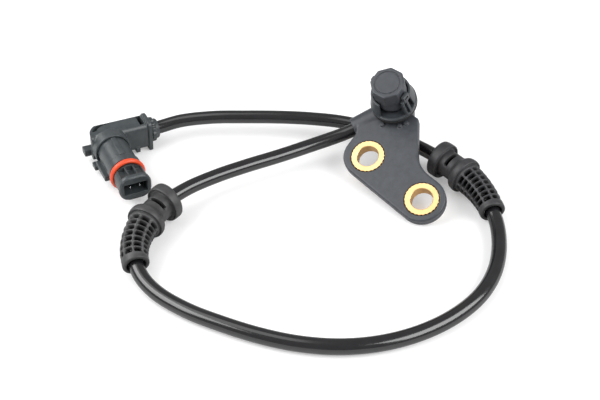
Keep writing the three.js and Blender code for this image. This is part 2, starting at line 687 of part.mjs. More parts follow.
// The outline of the nose across its axis.
function noseShape(grow = 0) {
  const { halfWidth, halfHeight, corner } = NOSE;
  const [w, h] = [halfWidth + grow, halfHeight + grow];
  return roundedShape([
    { x: -w, y: -h, r: corner },
    { x: w, y: -h, r: corner },
    { x: w, y: h, r: corner },
    { x: -w, y: h, r: corner },
  ], 4);
}

// The pockets on top of the nose, with two ribs between them.
function nosePockets(from, to) {
  const width = 2.3;
  const rib = 0.8;
  return [-1, 0, 1].map((k) => {
    const x = k * (width + rib);
    return solid(block([x - width / 2, NOSE.halfHeight - 1.3, from], [x + width / 2, NOSE.halfHeight + 2, to]));
  });
}

// The plug's body: barrel, seal groove, nose with its socket, key rib, side rail and lug.
function plugBody() {
  const noseStart = BARREL_END + SEAL_GROOVE_WIDTH;
  const noseEnd = noseStart + NOSE.length;
  const barrel = revolved([
    [0, BARREL_START],
    [BARREL_RADIUS - 0.3, BARREL_START],
    [BARREL_RADIUS, BARREL_START + 0.3],
    [BARREL_RADIUS, BAND.start],
    [BAND.radius, BAND.start + 0.4],
    [BAND.radius, BARREL_END - 0.3],
    [BAND.radius - 0.3, BARREL_END],
    [SEAL_GROOVE_RADIUS, BARREL_END],
    [SEAL_GROOVE_RADIUS, noseStart + 1],
    [0, noseStart + 1],
  ], 36);
  const nose = pulled(noseShape(-0.35), noseStart, noseEnd);
  const rim = pulled(noseShape(), noseEnd - NOSE_RIM, noseEnd - 0.4);
  const clear = HOOD_FRONT + GAP;
  const keyEnd = BAND.start - GAP;
  const key = block([-0.95, 5.5, clear], [0.95, BARREL_RADIUS + 0.6, keyEnd]);
  const rail = block([-BARREL_RADIUS - 1.4, -4.6, clear], [-4, -2.4, keyEnd]);
  const lug = block([-BARREL_RADIUS - 2.2, -6.2, clear - 2.3], [-BARREL_RADIUS - 0.2, -4.2, clear + 1.2]);
  const body = joined(solid(barrel), solid(nose), solid(rim), solid(key), solid(rail), solid(lug));
  const { width, height, depth } = SOCKET;
  const socket = block([-width / 2, -height / 2, noseEnd - depth], [width / 2, height / 2, noseEnd + 1]);
  const rear = post(REAR_BORE_RADIUS, 0, BARREL_END - 1.5, 28);
  const pinHoles = [-1, 1].map((side) => {
    const x = side * PIN_PITCH / 2;
    const half = PIN_SIZE / 2 + GAP;
    return solid(block([x - half, -half, 10], [x + half, half, noseEnd]));
  });
  const pockets = nosePockets(noseStart + 0.6, noseEnd - NOSE_RIM);
  const made = cut(body, solid(socket), solid(rear), ...pinHoles, ...pockets);
  return made.rotate([90, 0, 0]);
}

// The insert that fills the barrel behind the wall and guides both pins.
function pinInsert() {
  const from = BARREL_START + 1;
  const to = BARREL_END - 1.5 - GAP;
  const round = post(REAR_BORE_RADIUS - GAP, from, to, 24);
  const half = PIN_SIZE / 2 + GAP;
  const holes = [-1, 1].map((side) => solid(block(
    [side * PIN_PITCH / 2 - half, -half, from - 1],
    [side * PIN_PITCH / 2 + half, half, to + 1])));
  return cut(solid(round), ...holes).rotate([90, 0, 0]);
}

// A square contact pin with a tapered tip.
function pin(side) {
  const noseEnd = BARREL_END + SEAL_GROOVE_WIDTH + NOSE.length;
  const tail = 3.6;
  const tip = noseEnd - 1.2;
  const half = PIN_SIZE / Math.SQRT2;
  const profile = [
    new THREE.Vector2(0, tail),
    new THREE.Vector2(half, tail),
    new THREE.Vector2(half, tip - 1),
    new THREE.Vector2(half * 0.4, tip),
    new THREE.Vector2(0, tip),
  ];
  const made = new THREE.LatheGeometry(profile, 4)
    .rotateX(Math.PI / 2)
    .rotateZ(Math.PI / 4)
    .translate(side * PIN_PITCH / 2, 0, 0);
  return alongNose(made);
}

// The orange ring seal in the groove before the nose.
function plugSeal() {
  const width = SEAL_GROOVE_WIDTH - 2 * GAP;
  const from = BARREL_END + GAP;
  const made = revolved([
    [SEAL_GROOVE_RADIUS + GAP, from],
    [SEAL_OUTER_RADIUS - 0.6, from],
    [SEAL_OUTER_RADIUS, from + 0.6],
    [SEAL_OUTER_RADIUS, from + width - 0.6],
    [SEAL_OUTER_RADIUS - 0.6, from + width],
    [SEAL_GROOVE_RADIUS + GAP, from + width],
  ], 36);
  return alongNose(made);
}

// The elbow cover: a rounded arm, its hollow, the end plate, the top slot, the foot and the tab.
function elbowCover() {
  const side = roundedShape([
    { x: ARM.front, y: ARM.bottom, r: 1.5 },
    { x: ARM.back, y: ARM.bottom, r: 2.5 },
    { x: ARM.back, y: ARM.top, r: 4 },
    { x: ARM.front, y: ARM.top, r: 2.8 },
  ], 5);
  const plan = roundedShape([
    { x: ARM.left, y: ARM.front, r: 0.8 },
    { x: ARM.right + 1, y: ARM.front },
    { x: ARM.right + 1, y: ARM.back },
    { x: ARM.left, y: ARM.back, r: ARM.corner },
  ], 6);
  const arm = solid(alongX(pulled(side, ARM.left - 1, ARM.right)));
  const rounded = arm.intersect(solid(pulled(plan, -20, 20)));
  const plateEnd = ARM.right + END_PLATE.thickness;
  const endShape = roundedShape([
    { x: END_PLATE.front, y: END_PLATE.bottom, r: 0.8 },
    { x: END_PLATE.back, y: END_PLATE.bottom, r: 0.8 },
    { x: END_PLATE.back, y: END_PLATE.top, r: 3 },
    { x: END_PLATE.front, y: END_PLATE.top, r: 2.4 },
  ], 4);
  const endPlate = alongX(pulled(endShape, ARM.right - 0.2, plateEnd));
  const foot = block([10.2, ARM.front - 0.5, END_PLATE.bottom + 0.4], [12, ARM.front + 2, ARM.bottom + 1.5]);
  const tab = block([ARM.left - 2.2, -1.2, -5], [ARM.left + 1.5, 2.6, -2.2]);
  const hood = alongNose(post(HOOD_RADIUS, -ARM.front - 1.5, HOOD_FRONT, 32));
  const body = joined(rounded, solid(endPlate), solid(foot), solid(tab), solid(hood));
  const { left, right, back, halfHeight } = ARM_CAVITY;
  const hollow = block([left, ARM.front + 1.2, -halfHeight], [right, back, halfHeight]);
  const mouth = block([left, ARM.front - 1, -halfHeight], [-left, back - 1, halfHeight]);
  const bore = alongX(post(CABLE_RADIUS + GAP, right - 1, plateEnd + 1, 20));
  const barrelBore = alongNose(post(BARREL_RADIUS + GAP, BARREL_START - GAP, 20, 36));
  const topSlot = block([12.7, -2.8, ARM.top - 1.8], [14.5, 2.4, ARM.top + 1]);
  return cut(body, ...[hollow, mouth, bore, barrelBore, topSlot].map(solid), ridgeRecess());
}

// The recess along the back of the elbow's top, which follows its round corner.
function ridgeRecess() {
  const outer = ARM.corner - 1.2;
  const inner = outer - 1.3;
  const [floor, over] = [ARM.top - 1.6, ARM.top + 1];
  const centre = { x: ARM.left + ARM.corner, y: ARM.back - ARM.corner };
  const ring = cut(solid(post(outer, floor, over)), solid(post(inner, floor - 1, over + 1)));
  const bend = ring.intersect(solid(block([-20, 1.5, floor - 1], [0.01, 20, over + 1])));
  const run = solid(block([0, inner, floor], [5, outer, over]));
  return joined(bend, run).translate([centre.x, centre.y, 0]);
}

// The toothed collar that clamps the cable at the end plate.
function cableCollar() {
  const from = ARM.right + END_PLATE.thickness + GAP;
  const points = [];
  for (let k = 0; k < 2 * COLLAR_TEETH; k++) {
    const radius = k % 2 ? COLLAR_RADIUS : COLLAR_RADIUS - 0.45;
    const angle = Math.PI * k / COLLAR_TEETH;
    points.push(new THREE.Vector2(radius * Math.cos(angle), radius * Math.sin(angle)));
  }
  const teeth = pulled(new THREE.Shape(points), from, from + 1.9);
  const step = post(COLLAR_RADIUS - 0.9, from + 1, from + COLLAR_LENGTH - GAP, 24);
  const bore = post(CABLE_RADIUS + GAP, from - 1, from + COLLAR_LENGTH + 1, 20);
  return geometryOf(cut(joined(solid(teeth), solid(step)), solid(bore)));
}

// One insulated core from the cable's end in the arm to a pin.
function plugCore(side) {
  const end = ARM_CAVITY.right - 0.5 - GAP;
  const z = side * CORE_SPACING / 2;
  const path = new THREE.CatmullRomCurve3([
    new THREE.Vector3(end, 0, z),
    new THREE.Vector3(end - 2, 0, z),
    new THREE.Vector3(side * PIN_PITCH / 2 + 1, 0.3, z * 0.9),
    new THREE.Vector3(side * PIN_PITCH / 2, -1.6, z * 0.3),
    new THREE.Vector3(side * PIN_PITCH / 2, -3.6 + GAP, 0),
  ]);
  return rod(path, CORE_RADIUS, CORE_SIDES, 14);
}

// Assembly

// The bracket with its bushes, in the plate's own frame.
function bracketGroup() {
  const group = new THREE.Group();
  group.name = 'head_piece';
  group.position.copy(BRACKET_AT);
  const { x, y, z } = BRACKET_TURN_DEG;
  group.rotation.set(...[x, y, z].map(THREE.MathUtils.degToRad), 'ZYX');
  group.add(mesh('bracket', geometryOf(bracket()), MATERIALS.housing()));
  const bushes = { bush_left: 0, bush_right: BOLT_SPACING };
  for (const [name, across] of Object.entries(bushes)) {
    const made = mesh(name, bush(), MATERIALS.brass());
    made.position.x = across;
    group.add(made);
  }
  group.add(headGroup());
  for (const [name, side] of [['head_core_a', -1], ['head_core_b', 1]]) {
    group.add(mesh(name, headCore(side), MATERIALS.insulation()));
  }
  return group;
}

// The head on its own axis, with the sensing parts turned to face the cable's outlet.
function headGroup() {
  const group = new THREE.Group();
  group.position.set(HEAD.x, HEAD.y, 0);
  group.add(mesh('head_finger', geometryOf(finger()), MATERIALS.housing()));
  group.add(mesh('clip_sleeve', geometryOf(clipSleeve()), MATERIALS.clip()));
  group.add(mesh('head_seal', headSeal(), MATERIALS.sealBlack()));
  const inside = new THREE.Group();
  inside.rotation.z = OUTLET_ANGLE - Math.PI / 2;
  inside.add(mesh('sensor_chip', sensorChip(), MATERIALS.chip()));
  inside.add(mesh('bias_magnet', biasMagnet(), MATERIALS.magnet()));
  inside.add(mesh('chip_carrier', geometryOf(chipCarrier()), MATERIALS.insert()));
  inside.add(mesh('lead_a', geometryOf(lead(-1)), MATERIALS.tin()));
  inside.add(mesh('lead_b', geometryOf(lead(1)), MATERIALS.tin()));
  group.add(inside);
  return group;
}

// The plug with everything in it, in its own frame.
function plugGroup() {
  const group = new THREE.Group();
  group.name = 'plug';
  group.position.copy(PLUG_AT);
  group.rotation.set(0, ...[PLUG_TURN_DEG.y, PLUG_TURN_DEG.z].map(THREE.MathUtils.degToRad), 'ZYX');
  group.add(mesh('plug_body', geometryOf(plugBody()), MATERIALS.plug()));
  group.add(mesh('elbow_cover', geometryOf(elbowCover()), MATERIALS.plug()));
  group.add(mesh('plug_seal', plugSeal(), MATERIALS.sealOrange()));
  group.add(mesh('pin_insert', geometryOf(pinInsert()), MATERIALS.insert()));
  const collar = alongX(cableCollar());
  group.add(mesh('cable_collar', collar, MATERIALS.plug()));
  for (const [name, side] of [['a', -1], ['b', 1]]) {
    group.add(mesh('contact_pin_' + name, pin(side), MATERIALS.tin()));
    group.add(mesh('plug_core_' + name, plugCore(side), MATERIALS.insulation()));
  }
  return group;
}

const headPiece = bracketGroup();
const plug = plugGroup();
headPiece.updateMatrixWorld(true);
plug.updateMatrixWorld(true);

const centreline = cableCurve(headPiece.matrixWorld, plug.matrixWorld);
const sweptCable = rod(centreline, CABLE_RADIUS, CABLE_SIDES, CABLE_STEPS);

const group = new THREE.Group();
group.name = 'wheel_speed_sensor';
const headBox = new THREE.Box3().setFromObject(headPiece, true);
group.add(headPiece, plug);
group.add(mesh('cable', sweptCable, MATERIALS.jacket()));
group.add(mesh('grommet_near', grommet(centreline, GROMMET_STARTS.near, 1), MATERIALS.rubber()));
group.add(mesh('grommet_far', grommet(centreline, GROMMET_STARTS.far, -1), MATERIALS.rubber()));

// The origin goes under the middle of the head piece, at its lowest point.
const middle = headBox.getCenter(new THREE.Vector3());
for (const child of group.children) child.position.sub(new THREE.Vector3(middle.x, middle.y, headBox.min.z));

export default group;
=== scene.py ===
# %% [markdown]
# # A wheel speed sensor on a white table
# The part is three things on one black cable: a moulded bracket with a sensing head and two brass
# bushes, two ribbed rubber grommets, and an angled plug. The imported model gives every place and
# size. This script makes the finer surfaces and the finishes round it, one piece per cell.

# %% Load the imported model
import math

import bpy
import numpy as np
from mathutils import Euler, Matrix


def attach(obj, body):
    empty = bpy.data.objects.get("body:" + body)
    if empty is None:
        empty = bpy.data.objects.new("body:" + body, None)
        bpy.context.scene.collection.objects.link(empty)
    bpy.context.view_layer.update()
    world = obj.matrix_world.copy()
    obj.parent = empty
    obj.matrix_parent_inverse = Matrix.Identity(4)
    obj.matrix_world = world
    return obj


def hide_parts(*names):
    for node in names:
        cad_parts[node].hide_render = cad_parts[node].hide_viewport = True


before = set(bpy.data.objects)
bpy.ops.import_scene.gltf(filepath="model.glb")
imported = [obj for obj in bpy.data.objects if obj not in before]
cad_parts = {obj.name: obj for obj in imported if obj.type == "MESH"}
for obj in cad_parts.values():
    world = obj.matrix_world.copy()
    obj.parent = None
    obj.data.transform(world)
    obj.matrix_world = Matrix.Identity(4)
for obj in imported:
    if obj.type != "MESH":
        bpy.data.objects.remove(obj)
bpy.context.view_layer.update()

MM = 0.001

# %% [markdown]
# ## The camera
# The photograph looks down at 41 degrees from about 35 cm away. The lens follows from how much the
# two equal bushes differ in size in the picture: a 54 mm lens on a 36 mm sensor. The camera comes
# first, because the cable's free run is measured against its view.

# %% Camera
CAMERA_AT_MM = (-35.09, -266.64, 222.5)
PITCH_DOWN = 41.1

camera_data = bpy.data.cameras.new("camera")
camera_data.lens = 54
camera_data.sensor_width = 36
camera = bpy.data.objects.new("camera", camera_data)
bpy.context.scene.collection.objects.link(camera)
camera.location = [v * MM for v in CAMERA_AT_MM]
camera.rotation_euler = (math.radians(90 - PITCH_DOWN), 0, 0)
bpy.context.scene.camera = camera
print("camera at", tuple(round(v, 3) for v in camera.location))

# %% [markdown]
# ## Putting numpy arrays into meshes
# Every surface below is worked out as whole arrays of points in millimetres. Two helpers put them
# into Blender: one joins a grid of points with four-sided faces, the other makes the object. A
# grid can close on itself in either direction, as a hose closes round its axis.

# %% Mesh helpers
def grid_faces(rows, columns, closed_rows=False, closed_columns=True):
    """Faces of a rows x columns grid: each joins a point, its right neighbour and the two above."""
    i = np.arange(rows if closed_rows else rows - 1)[:, None]
    j = np.arange(columns if closed_columns else columns - 1)[None, :]
    up, right = (i + 1) % rows, (j + 1) % columns
    corners = [i * columns + j, i * columns + right, up * columns + right, up * columns + j]
    return np.stack(np.broadcast_arrays(*corners), axis=-1).reshape(-1, 4)


def new_piece(name, points_mm, faces, normals=None):
    """An object at the origin from points in millimetres and lists of face corners."""
    mesh = bpy.data.meshes.new(name)
    mesh.from_pydata((np.asarray(points_mm) * MM).tolist(), [], [list(f) for f in faces])
    mesh.polygons.foreach_set("use_smooth", np.ones(len(mesh.polygons), bool))
    if normals is not None:
        mesh.normals_split_custom_set_from_vertices(normals)
    mesh.update()
    made = bpy.data.objects.new(name, mesh)
    bpy.context.scene.collection.objects.link(made)
    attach(made, "root")
    print(f"{name}: {len(mesh.vertices)} points, {len(mesh.polygons)} faces")
    return made


def around(sides):
    """Equal angles once round."""
    return np.linspace(0, 2 * np.pi, sides, endpoint=False)


def paint(piece, name, values):
    """One number for each point of a piece, which its material reads by name."""
    layer = piece.data.attributes.new(name, "FLOAT", "POINT")
    layer.data.foreach_set("value", np.asarray(values, np.float32).ravel())


def unit(vectors):
    """Each vector divided by its own length."""
    return vectors / np.linalg.norm(vectors, axis=-1, keepdims=True)


# %% [markdown]
# ## Where the bracket and the plug lie
# The bracket leans on its low edge and the plug lies flat, so each has its own axes. A piece is
# worked out in those axes, where its faces are square to the grid, and is then turned into place.

# %% Poses
ORIGIN_SHIFT = np.array([-1.089, -1.637, 0.003])
BRACKET_AT = np.array([-8.4, 2.35, 11.31]) + ORIGIN_SHIFT
BRACKET_TURN = np.array(Euler([math.radians(a) for a in (28.08, 7.9, -47.43)], "XYZ").to_matrix())
PLUG_AT = np.array([-110, 17.2, 7.8]) + ORIGIN_SHIFT
PLUG_TURN = np.array(Euler((0, math.radians(3.8), math.radians(28)), "XYZ").to_matrix())
HEAD_AT = BRACKET_AT + BRACKET_TURN @ np.array([-6.7, 22.3, 0])


def placed(points, origin, turn):
    """Points in a piece's own axes, turned and moved into the model's frame."""
    return points @ turn.T + origin


print("head axis points along", np.round(BRACKET_TURN[:, 2], 3))

# %% [markdown]
# ## The cable
# The real cable is one black jacket of 5.3 mm that runs from the bracket's outlet through both
# grommets to the plug. A bevelled curve object would do, but a tube worked out here gives even
# rings and the centreline that the grommets need too. The line is a centripetal Catmull-Rom
# spline, which passes through every point without loops or overshoot.

# %% Cable route
CABLE_RADIUS = 2.65
OUTLET_MOUTH = np.array([-14.5, 5.8, -4.4])
OUTLET_AXIS = unit(np.array([-6.7 + 14.5, 22.3 - 5.8, 0.0]))
COLLAR_END = 20.9

ROUTE = ORIGIN_SHIFT + np.array([
    [-18.1, 16.7, 10.4], [-30.4, 12.6, 8.2], [-42.4, 7.2, 7.4], [-54.3, 1.5, 7.3],
    [-65.9, -4.8, 7.2], [-76.5, -12.8, 7.4], [-85.0, -23.0, 7.35], [-90.3, -35.3, 6.8],
    [-90.8, -44.6, 5.7], [-87.8, -53.1, 4.2], [-81.9, -60.0, 3.1], [-71.1, -67.6, 2.75],
    [-59.3, -73.4, 2.75], [-47.0, -78.3, 2.75], [-34.3, -81.7, 2.75], [-21.2, -82.9, 2.75],
    [-8.1, -81.4, 2.75], [4.4, -77.2, 2.75], [15.8, -70.5, 2.75], [25.4, -61.5, 2.75],
    [32.2, -50.3, 2.9], [35.8, -37.6, 3.5], [36.2, -24.5, 4.6], [32.6, -12.2, 6.3],
    [25.7, -1.2, 7.25], [16.8, 8.7, 7.5], [6.7, 17.4, 7.4], [-4.5, 24.4, 7.4],
    [-16.8, 29.0, 7.7], [-29.8, 31.0, 8.0], [-43.0, 31.6, 8.3], [-56.2, 31.6, 8.4],
    [-69.4, 31.3, 8.4], [-82.2, 30.2, 7.45],
])
in_outlet = np.array([OUTLET_MOUTH + depth * OUTLET_AXIS for depth in (9, 4.5, 0)])
in_plug = np.array([[x, 0, 0] for x in (COLLAR_END, (COLLAR_END + 9) / 2, 8.5)])
THROUGH = np.vstack([
    placed(in_outlet, BRACKET_AT, BRACKET_TURN),
    ROUTE,
    placed(in_plug, PLUG_AT, PLUG_TURN),
])


def spline(through, per_span):
    """Centripetal Catmull-Rom: a cubic on each span whose end slopes weigh the neighbour points
    by the square root of their distances."""
    ends = [2 * through[0] - through[1], 2 * through[-1] - through[-2]]
    p = np.vstack([ends[:1], through, ends[1:]])
    knot = np.sqrt(np.linalg.norm(np.diff(p, axis=0), axis=1))[:, None]
    before, here, after = knot[:-2], knot[1:-1], knot[2:]
    p0, p1, p2, p3 = p[:-3], p[1:-2], p[2:-1], p[3:]
    slope_in = here * ((p1 - p0) / before - (p2 - p0) / (before + here) + (p2 - p1) / here)
    slope_out = here * ((p2 - p1) / here - (p3 - p1) / (here + after) + (p3 - p2) / after)
    t = np.linspace(0, 1, per_span, endpoint=False)[None, :, None]
    spans = (p1[:, None]
             + slope_in[:, None] * t
             + (3 * (p2 - p1) - 2 * slope_in - slope_out)[:, None] * t**2
             + (2 * (p1 - p2) + slope_in + slope_out)[:, None] * t**3)
    return np.vstack([spans.reshape(-1, 3), through[-1:]])


knot_count = len(THROUGH)
fine_line = spline(THROUGH, 60)
run = np.concatenate([[0], np.cumsum(np.linalg.norm(np.diff(fine_line, axis=0), axis=1))])


def on_line(distance):
    """Points of the centreline at distances along it, in millimetres."""
    return np.stack([np.interp(distance, run, fine_line[:, a]) for a in range(3)], axis=-1)


def line_axes(distance):
    """Direction of the line, the level direction across it, and the direction square to both."""
    ahead = unit(on_line(np.asarray(distance) + 0.4) - on_line(np.asarray(distance) - 0.4))
    side = unit(np.cross(ahead, [0, 0, 1.0]))
    return ahead, side, np.cross(side, ahead)


print(f"cable centreline: {run[-1]:.1f} mm through {knot_count} points")

# %% [markdown]
# ## The jacket
# The jacket is extruded plastic, so its section never changes. Rings of points stand square to the
# centreline, close enough together that its bends look smooth. Its points also carry a painted
# shade, which darkens the jacket and dims its reflections where a grommet covers it, because no
# light from the room reaches the cable in there.

# %% Cable jacket
GROMMET_NEAR_AT, GROMMET_FAR_AT = 87.8, 330
GROMMET_COVER = 33
COVERED_PAINTED_SHADE = 0.15
JACKET_SIDES = 40
JACKET_STEP = 0.9
JACKET_END = 0.5
JACKET_END_RADIUS = CABLE_RADIUS - 0.3


def hose(distances, radii, angle, direction=1):
    """Rings round the line: centre + radius x (cos angle x up + sin angle x side)."""
    _, side, up = line_axes(distances)
    swing = angle[None, :, None]
    ring = np.cos(swing) * up[:, None] + direction * np.sin(swing) * side[:, None]
    return on_line(distances)[:, None] + np.asarray(radii)[:, None, None] * ring


jacket_at = np.linspace(JACKET_END, run[-1] - JACKET_END, int(run[-1] / JACKET_STEP))
jacket_radii = np.full(len(jacket_at), CABLE_RADIUS)
jacket_at = np.concatenate([[0.0], jacket_at, [run[-1]]])
jacket_radii = np.concatenate([[JACKET_END_RADIUS], jacket_radii, [JACKET_END_RADIUS]])
jacket_points = hose(jacket_at, jacket_radii, around(JACKET_SIDES)).reshape(-1, 3)
first_cap = np.arange(JACKET_SIDES)[::-1]
last_cap = np.arange(JACKET_SIDES) + len(jacket_points) - JACKET_SIDES
jacket_faces = [*grid_faces(len(jacket_at), JACKET_SIDES), first_cap, last_cap]
cable = new_piece("cable_jacket", jacket_points, jacket_faces)

in_near = np.abs(jacket_at - GROMMET_NEAR_AT - GROMMET_COVER / 2) <= GROMMET_COVER / 2
in_far = np.abs(jacket_at - GROMMET_FAR_AT + GROMMET_COVER / 2) <= GROMMET_COVER / 2
# painted shade: the jacket's colour and reflection are dimmed inside both grommets
paint(cable, "tone", np.repeat(np.where(in_near | in_far, COVERED_PAINTED_SHADE, 1.0), JACKET_SIDES))
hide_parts("cable")

# %% [markdown]
# ## The grommets
# Each grommet is one rubber moulding: a big flange that seats in a body panel, a neck with a slot,
# a rounded shoulder, and a cage of thin rings and ribs that lets the cable bend gently. Cutting
# fifty-six windows with booleans would leave ragged faces. A wall of rows and columns, with the
# faces of each window left out and their edges turned inwards, stays clean and can be rounded by
# a Subdivision Surface, as moulded rubber is.

# %% Grommet profile
GROMMET_BORE, TAIL_BORE = 3.05, 3.4
FLANGE_RADIUS, RIM, CUP = 7.1, 4.2, 0.7
NECK_RADIUS, NECK_END = 5.05, 11.2
SLOT_START, SLOT_END, SLOT_EDGE = 6.45, 7.95, 0.15
SHOULDER_RADIUS, SHOULDER_END = 7.05, 15.5
CAGE_ROWS, CAGE_COLUMNS = 7, 8
CAGE_PITCH, CAGE_RING = 2.25, 0.65
CAGE_RADII = (5.9, 4.75)
TAIL_LENGTH = 2.2
SOLID, SLOT, CAGE = 0, 1, 2

# distance and radius of the outer skin, distance of the bore, and what is open after this row
profile = [
    (0.0, FLANGE_RADIUS - 0.9, 0.0, SOLID),
    (0.08, FLANGE_RADIUS - 0.4, 0.1, SOLID),
    (0.6, FLANGE_RADIUS, 0.6, SOLID),
    (2.0, FLANGE_RADIUS, 2.0, SOLID),
    (RIM - 0.45, FLANGE_RADIUS, RIM - 0.7, SOLID),
    (RIM, FLANGE_RADIUS - 0.25, RIM - 0.5, SOLID),
    (RIM - 0.05, FLANGE_RADIUS - 0.7, RIM - 0.3, SOLID),
    (RIM - CUP, FLANGE_RADIUS - 0.95, RIM - 0.1, SOLID),
    (RIM - CUP, NECK_RADIUS + 0.35, RIM + 0.1, SOLID),
    (RIM - CUP + 0.35, NECK_RADIUS, RIM + 0.3, SOLID),
    (5.4, NECK_RADIUS, 5.4, SOLID),
    (SLOT_START - SLOT_EDGE, NECK_RADIUS, SLOT_START - SLOT_EDGE, SOLID),
    (SLOT_START, NECK_RADIUS, SLOT_START, SLOT),
    (SLOT_END, NECK_RADIUS, SLOT_END, SOLID),
    (SLOT_END + SLOT_EDGE, NECK_RADIUS, SLOT_END + SLOT_EDGE, SOLID),
    (9.2, NECK_RADIUS, 9.2, SOLID),
    (NECK_END - 0.4, NECK_RADIUS + 0.25, NECK_END - 0.4, SOLID),
    (NECK_END + 0.15, NECK_RADIUS + 1.2, NECK_END + 0.15, SOLID),
    (NECK_END + 1.0, SHOULDER_RADIUS - 0.2, NECK_END + 1.0, SOLID),
    (NECK_END + 2.2, SHOULDER_RADIUS, NECK_END + 2.2, SOLID),
    (SHOULDER_END - 0.9, SHOULDER_RADIUS - 0.05, SHOULDER_END - 0.9, SOLID),
    (SHOULDER_END - 0.35, SHOULDER_RADIUS - 0.4, SHOULDER_END - 0.6, SOLID),
    (SHOULDER_END - 0.8, CAGE_RADII[0] + 0.3, SHOULDER_END - 0.4, SOLID),
    (SHOULDER_END - 0.6, CAGE_RADII[0] - 0.05, SHOULDER_END - 0.2, SOLID),
]
cage_length = CAGE_ROWS * CAGE_PITCH + CAGE_RING
for row in range(CAGE_ROWS + 1):
    for along in (row * CAGE_PITCH, row * CAGE_PITCH + CAGE_RING):
        radius = np.interp(along, [0, cage_length], CAGE_RADII)
        kind = CAGE if along > row * CAGE_PITCH and row < CAGE_ROWS else SOLID
        profile.append((SHOULDER_END + along, radius, SHOULDER_END + along, kind))
tail_start = SHOULDER_END + cage_length
tail_end = tail_start + TAIL_LENGTH
profile += [
    (tail_start + 0.9, CAGE_RADII[1], tail_start + 0.7, SOLID),
    (tail_end - 0.5, CAGE_RADII[1], tail_end - 0.5, SOLID),
    (tail_end - 0.1, CAGE_RADII[1] - 0.12, tail_end - 0.2, SOLID),
    (tail_end, CAGE_RADII[1] - 0.45, tail_end, SOLID),
]
profile = np.array(profile)
bore_radius = np.where(profile[:, 2] < tail_start + 0.5, GROMMET_BORE, TAIL_BORE)
print(f"grommet profile: {len(profile)} rows, {profile[-1, 0]:.1f} mm long")

# %% [markdown]
# ## The grommets' wall
# Round the cable, each rib is one cell wide and each window four cells. The outer skin and the
# bore are two layers of the same grid, and wherever a closed cell meets an open one a side face
# joins the two layers, so the wall is closed whatever is cut out. The cage's thin rings and ribs
# get a painted sheen that makes them a little lighter than the rest, and the bore gets a painted
# shade that makes it darker.

# %% Grommet wall
RIB_HALF_DEG = 5.0
LINES_IN_WINDOW = (0.33, 0.5, 0.67)
LINES_A_COLUMN = 2 + len(LINES_IN_WINDOW)
CELL_MIDDLE_DEG = 4
SLOT_HALF_DEG = 45
SLOT_NEAR_AT, SLOT_FAR_AT = -18, 18
# painted light: a sheen that lightens the cage's outer skin and a shade that darkens the bore
CAGE_PAINTED_SHEEN, BORE_PAINTED_SHADE = 1.35, 0.25


def column_angles():
    """Lines round the wall in degrees: both edges of each rib and three lines in each window."""
    pitch = 360 / CAGE_COLUMNS
    offsets = np.array([-RIB_HALF_DEG, RIB_HALF_DEG, *(pitch * share for share in LINES_IN_WINDOW)])
    return (np.arange(CAGE_COLUMNS)[:, None] * pitch + offsets).ravel()


def open_cells(rows_kind, lines, slot_at):
    """True for each cell of the wall that is a window: between the ribs in the cage, and near
    enough to the slot's middle in the neck."""
    between_ribs = np.arange(len(lines)) % LINES_A_COLUMN != 0
    from_slot = (lines + CELL_MIDDLE_DEG - slot_at + 180) % 360 - 180
    kind = rows_kind[:-1, None]
    return ((kind == CAGE) & between_ribs) | ((kind == SLOT) & (np.abs(from_slot) < SLOT_HALF_DEG))


# each face's corners as rows and columns on from its cell, and the skin: 0 outside, 1 in the bore
OUTER = ((0, 0, 0), (0, 1, 0), (1, 1, 0), (1, 0, 0))
INNER = ((0, 0, 1), (1, 0, 1), (1, 1, 1), (0, 1, 1))
FOOT = ((0, 0, 0), (0, 0, 1), (0, 1, 1), (0, 1, 0))
HEAD = ((1, 0, 0), (1, 1, 0), (1, 1, 1), (1, 0, 1))
LEFT = ((0, 0, 0), (1, 0, 0), (1, 0, 1), (0, 0, 1))
RIGHT = ((0, 1, 0), (0, 1, 1), (1, 1, 1), (1, 1, 0))


def wall_faces(open_mask):
    """Outer and inner faces of every closed cell, plus a side face wherever a closed cell meets an
    open one or the wall's two ends."""
    closed = ~open_mask
    columns = closed.shape[1]
    past_end = np.zeros((1, columns), bool)
    below, above = np.vstack([past_end, closed[:-1]]), np.vstack([closed[1:], past_end])
    before, after = np.roll(closed, 1, axis=1), np.roll(closed, -1, axis=1)
    made = []
    for cells, corners in ((closed, OUTER), (closed, INNER), (closed & ~below, FOOT),
                           (closed & ~above, HEAD), (closed & ~before, LEFT), (closed & ~after, RIGHT)):
        i, j = np.nonzero(cells)
        made.append(np.stack([((i + up) * columns + (j + on) % columns) * 2 + skin
                              for up, on, skin in corners], axis=1))
    return np.vstack(made)


def grommet(name, start, direction, slot_at):
    """The wall bent along the cable: each profile row is a ring of the outer skin and one of the
    bore, both square to the centreline."""
    lines = column_angles()
    outer = hose(start + direction * profile[:, 0], profile[:, 1], np.radians(lines), direction)
    bore = hose(start + direction * profile[:, 2], bore_radius, np.radians(lines), direction)
    points = np.stack([outer, bore], axis=2)
    faces = wall_faces(open_cells(profile[:, 3], lines, slot_at))
    made = new_piece(name, points.reshape(-1, 3), faces)
    in_cage = (profile[:, 0] > SHOULDER_END - 0.1) & (profile[:, 0] < tail_start + 0.1)
    # painted sheen on the cage's outer skin and painted shade on the whole bore
    tone = np.empty(points.shape[:3])
    tone[..., 0] = np.where(in_cage, CAGE_PAINTED_SHEEN, 1.0)[:, None]
    tone[..., 1] = BORE_PAINTED_SHADE
    paint(made, "tone", tone)
    rounding = made.modifiers.new("rounding", "SUBSURF")
    rounding.levels = rounding.render_levels = 2
    return made


grommet_near = grommet("grommet_near_rubber", GROMMET_NEAR_AT, 1, SLOT_NEAR_AT)
grommet_far = grommet("grommet_far_rubber", GROMMET_FAR_AT, -1, SLOT_FAR_AT)
for made, node in [(grommet_near, "grommet_near"), (grommet_far, "grommet_far")]:
    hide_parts(node)

